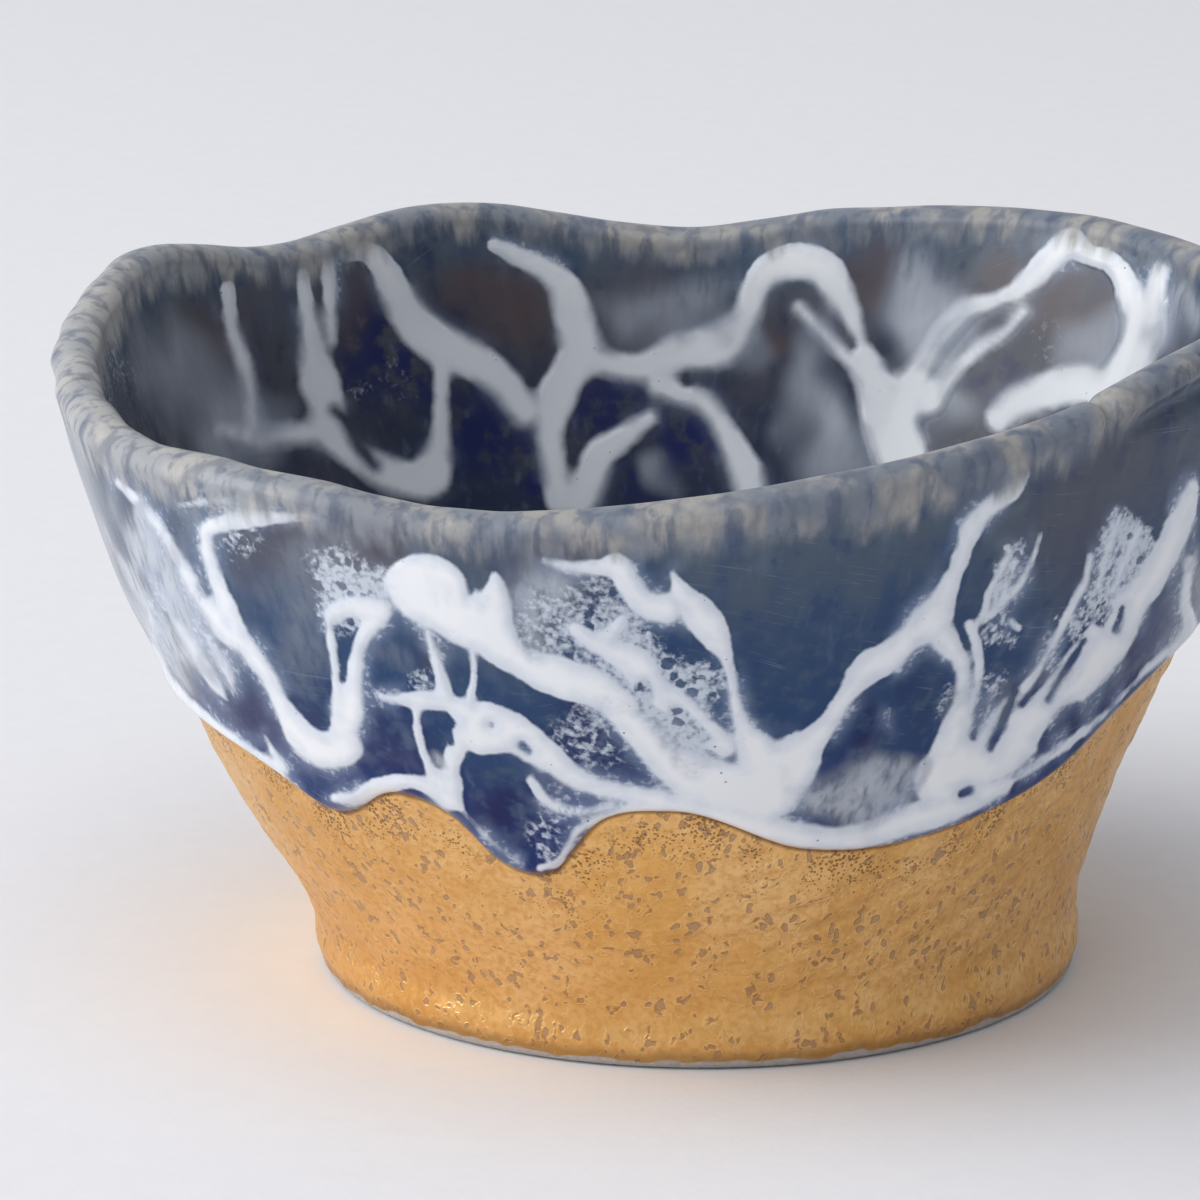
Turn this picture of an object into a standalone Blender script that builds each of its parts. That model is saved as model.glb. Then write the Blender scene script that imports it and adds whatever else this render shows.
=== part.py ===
"""A small hand-formed stoneware sake cup with a wavy lip, glazed above and gilded below.

Metres, +Z up. The origin is in the middle of the cup's outline, on the surface it stands on.
A bearing is an angle in degrees round the cup: 0 is the front (-Y) and 90 is +X.
"""

import math

import bmesh
import bpy
import numpy as np

# Driving dimensions
RIM_HEIGHT = 0.0404
RIM_RADIUS = 0.0382
RIM_SHIFT = 0.0016
RIM_SHIFT_DONE_AT = 0.4
LIP_THICKNESS = 0.0028
LIP_CROWN = 0.0012
WALL_THICKNESS = 0.0035
WALL_THINS_FROM = 0.5
FOOT_RADIUS = 0.0236
FOOT_EDGE_ROUND = 0.0006
FOOT_RING_WIDTH = 0.0034
FOOT_RECESS = 0.0012
FOOT_RECESS_SLOPE = 0.0006
FLOOR_THICKNESS = 0.0046
FLOOR_DISH = 0.0004
BOWL_CORNER_RADIUS = 0.0095
GLAZE_THICKNESS = 0.0007
GLAZE_BEAD = 0.0002
GLAZE_EDGE_SHARE = 0.7
GLAZE_EDGE_HEIGHT = 0.0001
GLAZE_BEAD_HEIGHT = 0.0008
GLAZE_FADE_HEIGHT = 0.0015
DRIP_HEIGHT = 0.017
LIP_GROOVE_DEPTH = 0.0006
LIP_GROOVE_BELOW = 0.0012
LIP_GROOVE_WIDTH = 0.0009

# Lip: bearing, rise as a share of RIM_HEIGHT, spread as a share of RIM_RADIUS
LIP_WAVES = (
    (-157, 0.012, 0.016),
    (-135, -0.012, -0.021),
    (-118, 0.030, 0.000),
    (-98, -0.007, -0.028),
    (-75, -0.042, -0.034),
    (-58, -0.059, -0.018),
    (-36, -0.050, -0.008),
    (-21, -0.072, -0.016),
    (-8, -0.057, -0.003),
    (5, -0.027, 0.010),
    (20, 0.005, 0.000),
    (37, 0.042, -0.021),
    (50, 0.097, 0.000),
    (70, 0.114, 0.010),
    (93, 0.072, 0.005),
    (118, 0.027, 0.016),
    (134, 0.037, 0.010),
    (150, 0.022, 0.000),
    (163, 0.000, -0.005),
    (176, -0.037, -0.010),
)

# Wall from foot to lip: share of the height, share of the way out from foot to lip
WALL_OUTLINE = (
    (0.0, 0.0),
    (0.045, 0.035),
    (0.09, 0.035),
    (0.175, 0.11),
    (0.3, 0.27),
    (0.5, 0.51),
    (0.72, 0.775),
    (0.9, 0.935),
    (1.0, 1.0),
)

# Lower edge of the glaze round the front: bearing, height as a share of DRIP_HEIGHT
FRONT_DRIPS = (
    (-58, 1.10),
    (-50, 1.04),
    (-42, 0.93),
    (-31, 1.07),
    (-25, 1.00),
    (-21, 0.85),
    (-15, 0.81),
    (-8, 1.05),
    (-1, 1.09),
    (14, 0.91),
    (36, 0.92),
    (47, 1.02),
    (57, 1.21),
    (66, 1.33),
    (78, 1.38),
    (92, 1.26),
)
BACK_DRIPS = 5
BACK_DRIP_LEVEL = 1.03
BACK_DRIP_DEPTH = 0.13
BACK_DRIP_UNEVENNESS = 0.25
BACK_DRIP_TURN = 2.4

# Rolled lip with a groove under it: bearings where it starts, is full, and has faded out
LIP_GROOVE_BEARINGS = (38, 46, 95, 125)

# Mesh: columns round the cup and rows in each zone
COLUMNS = 96
GOLD_ROWS = 7
GLAZE_ROWS = 6
LIP_ROWS = 6
INNER_ROWS = 8
CORNER_ROWS = 5
FLOOR_ROWS = 2


def hermite(knots, values, slopes, x):
    """A smooth curve through the knots, read at x."""
    i = np.clip(np.searchsorted(knots, x, side="right") - 1, 0, len(knots) - 2)
    step = knots[i + 1] - knots[i]
    s = (x - knots[i]) / step
    rising = s * s * (3 - 2 * s)
    leaving = s * (1 - s) ** 2 * step * slopes[i]
    arriving = s * s * (s - 1) * step * slopes[i + 1]
    return values[i] * (1 - rising) + values[i + 1] * rising + leaving + arriving


def round_curve(bearings, values, x):
    """A smooth closed curve round the cup, read at the bearings x."""
    knots = np.array(bearings[-2:], float) - 360
    knots = np.concatenate([knots, bearings, np.array(bearings[:2], float) + 360])
    heights = np.concatenate([values[-2:], values, values[:2]])
    slopes = np.gradient(heights, knots)
    wrapped = (np.asarray(x, float) - bearings[0]) % 360 + bearings[0]
    return hermite(knots, heights, slopes, wrapped)


def open_curve(points, x):
    knots, values = np.array(points, float).T
    return hermite(knots, values, np.gradient(values, knots), np.clip(x, knots[0], knots[-1]))


def ramp(x, low, high):
    s = np.clip((x - low) / (high - low), 0, 1)
    return s * s * (3 - 2 * s)


def lip_height(bearing):
    bearings, rises, _ = zip(*LIP_WAVES)
    return RIM_HEIGHT * (1 + round_curve(bearings, rises, bearing))


def lip_reach(bearing):
    bearings, _, spreads = zip(*LIP_WAVES)
    return RIM_RADIUS * (1 + round_curve(bearings, spreads, bearing))


def drip_stations():
    """The front's stations, then even waves of uneven depth round the back."""
    stations = list(FRONT_DRIPS)
    start = FRONT_DRIPS[-1][0]
    step = (360 + FRONT_DRIPS[0][0] - start) / (2 * BACK_DRIPS + 1)
    for turn in range(1, 2 * BACK_DRIPS + 1):
        uneven = BACK_DRIP_UNEVENNESS * (math.sin(BACK_DRIP_TURN * turn) - 1)
        wave = (-1) ** turn * BACK_DRIP_DEPTH * (1 + uneven)
        stations.append((start + turn * step, BACK_DRIP_LEVEL + wave))
    return stations


def drip_height(bearing):
    bearings, shares = zip(*drip_stations())
    return DRIP_HEIGHT * round_curve(bearings, shares, bearing)


def groove_depth(bearing, height):
    start, full, fading, end = LIP_GROOVE_BEARINGS
    strength = ramp(bearing, start, full) * (1 - ramp(bearing, fading, end))
    below = lip_height(bearing) - LIP_CROWN - LIP_GROOVE_BELOW
    return LIP_GROOVE_DEPTH * strength * np.exp(-(((height - below) / LIP_GROOVE_WIDTH) ** 2))


def thrown_radius(bearing, height):
    """Outside of the bare clay, without the groove under the lip."""
    share = open_curve(WALL_OUTLINE, height / (lip_height(bearing) - LIP_CROWN))
    edge = lip_reach(bearing) + LIP_THICKNESS / 2 - GLAZE_THICKNESS
    return FOOT_RADIUS + share * (edge - FOOT_RADIUS)


def body_radius(bearing, height):
    return thrown_radius(bearing, height) - groove_depth(bearing, height)


def inner_radius(bearing, height):
    """Inside of the wall, which thins from WALL_THICKNESS to the lip."""
    share = height / (lip_height(bearing) - LIP_CROWN)
    wall = WALL_THICKNESS + (LIP_THICKNESS - WALL_THICKNESS) * ramp(share, WALL_THINS_FROM, 1)
    return thrown_radius(bearing, height) + GLAZE_THICKNESS - wall


def axis_shift(height):
    """The mouth sits a little to the left of the foot."""
    return -RIM_SHIFT * ramp(height, 0, RIM_SHIFT_DONE_AT * RIM_HEIGHT)


def ring(bearing, radius, height):
    turn = np.radians(bearing)
    radius = np.broadcast_to(radius, turn.shape)
    height = np.broadcast_to(height, turn.shape)
    across = axis_shift(height) + radius * np.sin(turn)
    return np.stack([across, -radius * np.cos(turn), height], axis=1)


def underside_rings(bearing):
    bottom = FOOT_RADIUS - FOOT_EDGE_ROUND
    inside = bottom - FOOT_RING_WIDTH
    recess = inside - FOOT_RECESS_SLOPE
    return [
        ring(bearing, recess / 2, FOOT_RECESS),
        ring(bearing, recess, FOOT_RECESS),
        ring(bearing, inside, 0),
        ring(bearing, bottom, 0),
    ]


def gold_rings(bearing):
    top = drip_height(bearing)
    shares = np.linspace(0, 1, GOLD_ROWS + 1)
    heights = [FOOT_EDGE_ROUND + share * (top - FOOT_EDGE_ROUND) for share in shares]
    return [ring(bearing, body_radius(bearing, height), height) for height in heights]


def glaze_rings(bearing):
    """The glaze ends in a rolled bead that stands proud of the gold."""
    top = lip_height(bearing) - LIP_CROWN
    edge = drip_height(bearing)
    steps = (
        (GLAZE_EDGE_HEIGHT, GLAZE_EDGE_SHARE * GLAZE_THICKNESS),
        (GLAZE_BEAD_HEIGHT, GLAZE_THICKNESS + GLAZE_BEAD),
        (GLAZE_FADE_HEIGHT, GLAZE_THICKNESS),
    )
    rings = []
    low = edge
    for rise, proud in steps:
        low = low + rise
        rings.append(ring(bearing, body_radius(bearing, low) + proud, low))
    groove = top - LIP_GROOVE_BELOW - LIP_GROOVE_WIDTH
    heights = [low + share * (groove - low) for share in np.linspace(0, 1, GLAZE_ROWS + 1)[1:]]
    heights.append(top - LIP_GROOVE_BELOW)
    for height in heights:
        rings.append(ring(bearing, body_radius(bearing, height) + GLAZE_THICKNESS, height))
    return rings


def lip_rings(bearing):
    """Half an ellipse over the top of the wall, from its outer to its inner shoulder."""
    shoulder = lip_height(bearing) - LIP_CROWN
    outer = body_radius(bearing, shoulder) + GLAZE_THICKNESS
    inner = inner_radius(bearing, shoulder)
    middle = (outer + inner) / 2
    half = (outer - inner) / 2
    turns = [math.pi * step / LIP_ROWS for step in range(LIP_ROWS + 1)]
    return [
        ring(bearing, middle + half * math.cos(turn), shoulder + LIP_CROWN * math.sin(turn))
        for turn in turns
    ]


def bowl_rings(bearing):
    """The inside: down the wall, round the corner and across a slightly dished floor."""
    floor = FOOT_RECESS + FLOOR_THICKNESS
    flare = math.atan((RIM_RADIUS - FOOT_RADIUS) / RIM_HEIGHT)
    corner = floor + BOWL_CORNER_RADIUS * (1 - math.sin(flare))
    top = lip_height(bearing) - LIP_CROWN
    heights = [top + share * (corner - top) for share in np.linspace(0, 1, INNER_ROWS + 1)[1:]]
    rings = [ring(bearing, inner_radius(bearing, height), height) for height in heights]
    centre = inner_radius(bearing, corner) - BOWL_CORNER_RADIUS * math.cos(flare)
    for turn in np.linspace(flare, math.pi / 2, CORNER_ROWS + 1)[1:]:
        radius = centre + BOWL_CORNER_RADIUS * math.cos(turn)
        height = floor + BOWL_CORNER_RADIUS * (1 - math.sin(turn))
        rings.append(ring(bearing, radius, height))
    for share in np.linspace(1, 0, FLOOR_ROWS + 1)[1:-1]:
        rings.append(ring(bearing, centre * share, floor - FLOOR_DISH * (1 - share**2)))
    return rings


def cup_mesh():
    """Rings of points from the underside, up the outside, over the lip and down the inside."""
    bearing = np.arange(COLUMNS) * 360 / COLUMNS - 180
    zones = (
        (underside_rings(bearing), 2),
        (gold_rings(bearing), 1),
        (glaze_rings(bearing) + lip_rings(bearing) + bowl_rings(bearing), 0),
    )
    rings = [points for zone, _ in zones for points in zone]
    slots = [slot for zone, slot in zones for _ in zone]
    everything = np.concatenate(rings)
    middle = (everything.min(axis=0) + everything.max(axis=0)) / 2
    middle[2] = 0
    floor = FOOT_RECESS + FLOOR_THICKNESS - FLOOR_DISH
    mesh = bmesh.new()
    loops = [[mesh.verts.new(point - middle) for point in points] for points in rings]
    under = mesh.verts.new((axis_shift(FOOT_RECESS) - middle[0], -middle[1], FOOT_RECESS))
    inside = mesh.verts.new((axis_shift(floor) - middle[0], -middle[1], floor))
    for low, high, slot in zip(loops, loops[1:], slots[1:]):
        for i in range(COLUMNS):
            j = (i + 1) % COLUMNS
            mesh.faces.new((low[i], low[j], high[j], high[i])).material_index = slot
    for i in range(COLUMNS):
        j = (i + 1) % COLUMNS
        mesh.faces.new((under, loops[0][j], loops[0][i])).material_index = slots[0]
        mesh.faces.new((inside, loops[-1][i], loops[-1][j])).material_index = slots[-1]
    return mesh


def finish_material(name, colour, roughness, metallic):
    material = bpy.data.materials.new(name)
    material.use_nodes = True
    shader = material.node_tree.nodes["Principled BSDF"]
    shader.inputs["Base Color"].default_value = (*colour, 1)
    shader.inputs["Roughness"].default_value = roughness
    shader.inputs["Metallic"].default_value = metallic
    return material


def sake_cup():
    data = bpy.data.meshes.new("sake_cup")
    mesh = cup_mesh()
    mesh.to_mesh(data)
    mesh.free()
    data.materials.append(finish_material("blue and white glaze", (0.16, 0.21, 0.33), 0.15, 0.0))
    data.materials.append(finish_material("gold lustre", (0.78, 0.50, 0.20), 0.35, 1.0))
    data.materials.append(finish_material("bare clay", (0.55, 0.52, 0.50), 0.85, 0.0))
    data.shade_smooth()
    cup = bpy.data.objects.new("sake_cup", data)
    bpy.context.scene.collection.objects.link(cup)


for item in list(bpy.data.objects):
    bpy.data.objects.remove(item)
sake_cup()
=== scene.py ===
"""The looks of a small hand-formed sake cup: blue and white glaze above a gilded base.

Metres and +Z up, unless a name says millimetres. A bearing is an angle in degrees round the
cup: 0 is the front (-Y) and 90 is +X. Glaze routes are in pixels of the square front view.
"""

import math

import bpy
import numpy as np
from mathutils import Matrix, Vector


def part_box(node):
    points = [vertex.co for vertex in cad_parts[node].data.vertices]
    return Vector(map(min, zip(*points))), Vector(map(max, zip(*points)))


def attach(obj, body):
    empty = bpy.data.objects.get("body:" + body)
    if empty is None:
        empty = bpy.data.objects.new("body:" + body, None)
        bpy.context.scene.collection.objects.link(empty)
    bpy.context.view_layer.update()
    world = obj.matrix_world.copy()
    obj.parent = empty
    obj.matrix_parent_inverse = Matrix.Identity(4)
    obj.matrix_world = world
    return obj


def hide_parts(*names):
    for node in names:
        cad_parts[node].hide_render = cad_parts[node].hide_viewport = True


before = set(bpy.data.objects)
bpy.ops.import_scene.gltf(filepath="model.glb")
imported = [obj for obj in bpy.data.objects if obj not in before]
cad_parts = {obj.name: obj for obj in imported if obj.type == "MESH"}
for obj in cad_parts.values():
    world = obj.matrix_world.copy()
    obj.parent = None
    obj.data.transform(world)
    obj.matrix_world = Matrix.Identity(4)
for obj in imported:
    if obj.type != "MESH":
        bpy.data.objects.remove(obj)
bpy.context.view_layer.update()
MM = 0.001

# Form, as in the solid
RIM_HEIGHT = 0.0404
RIM_RADIUS = 0.0382
RIM_SHIFT = 0.0016
RIM_SHIFT_DONE_AT = 0.4
LIP_THICKNESS = 0.0028
LIP_CROWN = 0.0012
WALL_THICKNESS = 0.0035
WALL_THINS_FROM = 0.5
FOOT_RADIUS = 0.0236
FOOT_EDGE_ROUND = 0.0006
FOOT_RING_WIDTH = 0.0034
FOOT_RECESS = 0.0012
FOOT_RECESS_SLOPE = 0.0006
FLOOR_THICKNESS = 0.0046
FLOOR_DISH = 0.0004
BOWL_CORNER_RADIUS = 0.0095
GLAZE_THICKNESS = 0.0007
GLAZE_BEAD = 0.0002
BEAD_ROUNDING = 0.00055
BEAD_CENTRE = 0.0009
BEAD_WIDTH = 0.0007
BEAD_TUCK = 0.00003
GOLD_UNDER_GLAZE = 0.0006
DRIP_HEIGHT = 0.017
LIP_GROOVE_DEPTH = 0.0006
LIP_GROOVE_BELOW = 0.0012
LIP_GROOVE_WIDTH = 0.0009

# Lip: bearing, rise as a share of RIM_HEIGHT, spread as a share of RIM_RADIUS
LIP_WAVES = (
    (-157, 0.012, 0.016),
    (-135, -0.012, -0.021),
    (-118, 0.030, 0.000),
    (-98, -0.007, -0.028),
    (-75, -0.042, -0.034),
    (-58, -0.059, -0.018),
    (-36, -0.050, -0.008),
    (-21, -0.072, -0.016),
    (-8, -0.057, -0.003),
    (5, -0.027, 0.010),
    (20, 0.005, 0.000),
    (37, 0.042, -0.021),
    (50, 0.097, 0.000),
    (70, 0.114, 0.010),
    (93, 0.072, 0.005),
    (118, 0.027, 0.016),
    (134, 0.037, 0.010),
    (150, 0.022, 0.000),
    (163, 0.000, -0.005),
    (176, -0.037, -0.010),
)

# Wall from foot to lip: share of the height, share of the way out from foot to lip
WALL_OUTLINE = (
    (0.0, 0.0),
    (0.045, 0.035),
    (0.09, 0.035),
    (0.175, 0.11),
    (0.3, 0.27),
    (0.5, 0.51),
    (0.72, 0.775),
    (0.9, 0.935),
    (1.0, 1.0),
)

# Lower edge of the glaze round the front: bearing, height as a share of DRIP_HEIGHT
FRONT_DRIPS = (
    (-58, 1.10),
    (-50, 1.04),
    (-42, 0.93),
    (-31, 1.07),
    (-25, 1.00),
    (-21, 0.85),
    (-15, 0.81),
    (-8, 1.05),
    (-1, 1.09),
    (14, 0.91),
    (36, 0.92),
    (47, 1.02),
    (57, 1.21),
    (66, 1.33),
    (78, 1.38),
    (92, 1.26),
)
BACK_DRIPS = 5
BACK_DRIP_LEVEL = 1.03
BACK_DRIP_DEPTH = 0.13
BACK_DRIP_UNEVENNESS = 0.25
BACK_DRIP_TURN = 2.4

# Rolled lip with a groove under it: bearings where it starts, is full, and has faded out
LIP_GROOVE_BEARINGS = (38, 46, 95, 125)

# Front view
VIEW_PIXELS = 1200
VIEW_FOCAL_PIXELS = 6300
VIEW_DISTANCE = 0.4
VIEW_ELEVATION = 18
VIEW_FOOT_PIXEL = (697, 948)
VIEW_SENSOR_MM = 36

# Fineness of the lattice
COLUMNS = 840
FRONT_CROWDING = 14
BEAD_ROWS_MM = (0, 0.03, 0.08, 0.15, 0.24, 0.35, 0.48, 0.63, 0.8, 1.0, 1.25, 1.55, 1.9, 2.3)
WALL_ROWS = 78
LIP_ROWS = 16
INNER_ROWS = 76
CORNER_ROWS = 14
FLOOR_ROWS = 12
GOLD_ROWS = 88
EDGE_ROWS = 8
UNDER_ROWS = 8
SLOPE_ROWS = 6
SHELL = 0.0009
BACK_ROWS = 6
BOWL_BACK_ROWS = 12
SEAM_BELOW_LIP = 3
OUTER_ROWS = len(BEAD_ROWS_MM) + WALL_ROWS
CREST_ROW = OUTER_ROWS + LIP_ROWS // 2 - 1
SPLIT_ROW = OUTER_ROWS + LIP_ROWS + SEAM_BELOW_LIP
OUTER = slice(0, CREST_ROW + 1)
INNER = slice(CREST_ROW + 1, None)

# Fields: how far those of the runs reach, and the fillets where runs meet
SEED = 11
REACH_PIXELS = 60
REACH_MM = 4
OUTSIDE_FILLET_PIXELS = 7
INSIDE_FILLET_PIXELS = 12
CUT_FILLET_PIXELS = 5
FREE_FILLET_MM = 0.5
SIDES_FILLET_MM = 0.4
UNSEEN_DROP_MM = 6
SEEN_FACING = (-0.3, -0.05)
SEEN_PAST_EDGE_PIXELS = 25
NEAR_LIP_BEARING = 88
FAR_INSIDE_BEARINGS = (60, 80)
BACK_EDGE_BEARINGS = (62, 75)
BACK_EDGE_MM = 0.7
BACK_EDGE_UNEVENNESS_MM = 0.5
INWARD_MM = (2.5, 7.0)
PATCH_SWELL = 0.005
PATCH_SWAY_MM = 0.9
PATCH_SWAY_PIXELS = 13

# Space of the scratches: its slant with height, and its scales across and upward
SWIRL_SLANT = 2.2
SWIRL_ACROSS = 0.9
SWIRL_UPWARD = 0.1

# Plainer runs of the sides and the bowl: half the width along them, as shares
FREE_RUN_TAPER = (0.6, 0.75, 0.9, 1.05, 1.15, 0.8, 0.25)
FREE_PATCH_MM = 3.5
ROUTE_STEPS = 4
RIPPLE_WAVES = 14

# Slow noises: name, swells to the millimetre
SLOW_TONES = (("cloud", 0.16), ("patchy", 0.33), ("thin", 0.45))
DARKER_SWELLS = 0.5
RAGGED_SWELLS = 0.5
RAGGED_MM = 0.9
UPRIGHT = np.array([1, 1, 0.16])

# How brightly the room shines from each side
ROOM_LEFT = 0.72
ROOM_RIGHT = 0.36

# Relief
FOAM_RELIEF = 0.00007
FOAM_ROUNDING_MM = 0.4
FLUTE_RELIEF = 0.00013
FLUTE_SPACING = 0.0042
FLUTE_CENTRE_MM = 1.6
FLUTE_REACH_MM = 1.9
FLUTES_UPRIGHT = np.array([1, 1, 0.12])
HAND_SWELL = 0.009
BASE_HAND_SWELL = 0.007
GOLD_SWELL = 0.002
GOLD_RELIEF_FROM = (0.0004, 0.003)
GOLD_RELIEF = 0.00004
HAND_RELIEF = 0.00007
CREASE_BEARING = 39.5
CREASE_DEPTH = 0.0004
CREASE_WIDTH = 0.0004
CREASE_REACH = 0.0026

# Blues of the glaze, 0 to 255: at the drips, above them, under the lip, and in its stains; the bowl's
# are darker copies, painted shade
OUTSIDE_BLUES = ((8, 32, 98), (28, 62, 104), (78, 92, 108), (88, 80, 88))
PAINTED_SHADE_BOWL_BLUES = ((10, 16, 44), (26, 38, 66), (72, 74, 84), (82, 70, 74))

# Sandy band round the lip: bearing, width in millimetres, and how pale it is, painted light that is
# strongest on the left, towards the window
LIP_BAND = (
    (-98, 2.9, 1.0),
    (-75, 3.0, 1.0),
    (-58, 2.8, 0.9),
    (-36, 2.6, 0.5),
    (-10, 2.5, 0.1),
    (5, 3.0, 0.0),
    (20, 3.3, 0.0),
    (38, 2.6, 0.0),
    (42, 2.0, 0.0),
    (60, 1.8, 0.0),
    (93, 1.9, 0.0),
    (150, 2.2, 0.0),
    (205, 2.4, 0.3),
)

# Where the lip is fluted: bearing, strength
FLUTED = ((-130, 0.3), (-105, 1.0), (-60, 1.0), (-30, 0.5), (0, 0.15), (60, 0.1), (150, 0.1), (200, 0.2))

# White runs on the outside of the front: pixel x, pixel y, half the width in pixels
OUTSIDE_RUNS = (
    # Left: the long run, its bar, its hook and the pale masses behind it
    ((118, 482, 4), (138, 503, 6), (160, 533, 7), (182, 568, 8), (203, 600, 9), (224, 627, 12),
     (247, 647, 11), (268, 675, 9), (283, 705, 10), (300, 733, 15), (322, 749, 19), (342, 748, 21)),
    ((320, 517, 3), (282, 517, 6), (262, 518, 9), (235, 520, 10), (210, 528, 10), (207, 540, 7),
     (210, 560, 8), (218, 585, 8), (228, 610, 10), (236, 628, 10)),
    ((333, 612, 9), (331, 640, 6), (335, 670, 5), (340, 700, 9), (345, 725, 15)),
    ((375, 620, 12), (362, 640, 8), (355, 665, 9), (352, 690, 12), (350, 715, 15)),
    ((333, 612, 9), (355, 605, 12), (380, 612, 14)),
    ((150, 605, 4), (158, 650, 6), (165, 680, 9), (185, 705, 11), (213, 727, 9), (245, 747, 6),
     (272, 767, 7), (290, 787, 5)),
    ((150, 575, 2), (172, 612, 4), (194, 645, 7), (212, 676, 8), (228, 700, 2)),
    ((186, 598, 2), (206, 632, 4), (224, 662, 7), (234, 690, 2)),
    ((265, 736, 1.5), (272, 750, 3), (283, 768, 6)),
    ((335, 798, 5), (355, 798, 9), (375, 791, 12), (400, 782, 9), (425, 785, 9), (450, 800, 12)),
    # Middle: the blob, the broad diagonal below it and the knot
    ((400, 580, 17), (425, 588, 35), (450, 606, 31), (472, 624, 26)),
    ((494, 574, 4), (496, 588, 11), (493, 608, 20), (491, 628, 24), (505, 648, 20)),
    ((475, 628, 18), (500, 648, 15), (530, 665, 18), (560, 677, 21), (590, 686, 20),
     (615, 702, 18), (638, 727, 18), (660, 752, 20), (690, 775, 24), (730, 790, 27)),
    ((485, 728, 27), (515, 735, 20), (538, 750, 17), (562, 770, 14), (590, 785, 10),
     (620, 792, 9), (660, 800, 14)),
    ((380, 696, 3), (400, 699, 6), (425, 700, 10), (450, 705, 8), (465, 712, 14)),
    ((417, 708, 4), (420, 735, 4.5), (428, 760, 5), (442, 784, 10)),
    ((462, 735, 12), (452, 762, 10), (452, 786, 12)),
    ((455, 800, 8), (465, 813, 3), (480, 831, 2.5), (500, 850, 2), (520, 863, 1.5)),
    ((530, 780, 5), (545, 800, 6), (560, 808, 6), (585, 812, 4), (610, 806, 5)),
    ((540, 868, 4), (558, 862, 5), (568, 848, 4), (577, 832, 5), (592, 822, 5), (612, 815, 6),
     (640, 808, 10)),
    ((428, 632, 4), (434, 655, 6), (440, 675, 7), (444, 695, 9)),
    ((473, 650, 5), (474, 670, 3), (473, 685, 4), (470, 700, 6)),
    # The flat run that turns into a leaf and falls to the broad base
    ((545, 560, 4), (570, 567, 7), (600, 567, 9), (618, 565, 14), (628, 582, 13),
     (645, 603, 15), (665, 608, 17)),
    ((673, 572, 3), (682, 592, 11), (698, 612, 18), (713, 632, 17), (725, 655, 8),
     (731, 675, 6), (735, 700, 7), (742, 725, 10), (755, 750, 20), (775, 775, 30)),
    ((720, 790, 25), (760, 790, 35), (790, 765, 28), (810, 745, 14)),
    ((640, 806, 11), (680, 805, 13), (720, 815, 18), (760, 826, 18), (800, 836, 14), (850, 838, 13),
     (900, 822, 16), (950, 806, 16), (1000, 785, 10)),
    # Right: two arms round the blue eye, then the mass that climbs to the edge of the view
    ((800, 752, 20), (822, 730, 12), (838, 708, 10), (850, 690, 11), (868, 668, 17),
     (888, 658, 17), (908, 640, 14), (930, 622, 20), (943, 600, 14), (956, 570, 9),
     (965, 545, 9), (970, 530, 11), (985, 510, 10), (1008, 490, 12), (1018, 472, 12)),
    ((945, 640, 15), (960, 660, 10), (964, 680, 8), (963, 700, 9), (957, 722, 13),
     (950, 748, 18)),
    ((940, 780, 28), (960, 765, 28), (1000, 750, 25), (1035, 722, 22), (1060, 695, 22),
     (1085, 668, 24), (1108, 640, 24), (1130, 605, 18), (1150, 580, 15), (1168, 550, 14),
     (1182, 520, 13), (1195, 488, 10)),
    ((1190, 560, 6), (1185, 600, 6), (1188, 628, 8), (1168, 652, 5)),
    ((1000, 785, 4), (1060, 748, 5), (1100, 715, 5), (1140, 675, 4), (1165, 652, 4)),
    ((1090, 556, 4), (1085, 580, 4), (1075, 600, 5), (1065, 620, 5), (1055, 640, 5),
     (1045, 658, 4), (1033, 680, 6), (1018, 697, 7), (1000, 715, 8), (985, 740, 8)),
    ((970, 625, 6), (978, 650, 6), (980, 680, 6), (975, 700, 6), (970, 730, 6)),
)

# Finer strands of the lace
OUTSIDE_THREADS = (
    ((575, 630, 8), (600, 645, 10), (622, 622, 7)),
    ((600, 645, 10), (635, 665, 17), (655, 690, 15), (680, 705, 14), (705, 730, 14), (725, 745, 12)),
    ((1008, 548, 3), (1003, 565, 4), (990, 590, 4), (985, 610, 4), (973, 630, 4)),
    ((1015, 560, 3), (1005, 590, 3), (992, 615, 3)),
    ((1040, 532, 2), (1030, 562, 3), (1015, 590, 5), (998, 607, 3), (985, 622, 2)),
    ((1012, 622, 4), (1018, 628, 4)),
    ((995, 686, 2), (980, 720, 2), (968, 750, 3)),
    ((1120, 520, 3), (1108, 548, 4), (1098, 585, 3)),
    ((1140, 530, 4), (1125, 560, 5), (1112, 590, 4)),
    ((890, 708, 1), (887, 735, 1.5), (881, 760, 3)),
    ((180, 505, 3), (215, 500, 4), (260, 505, 4)),
)

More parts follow.
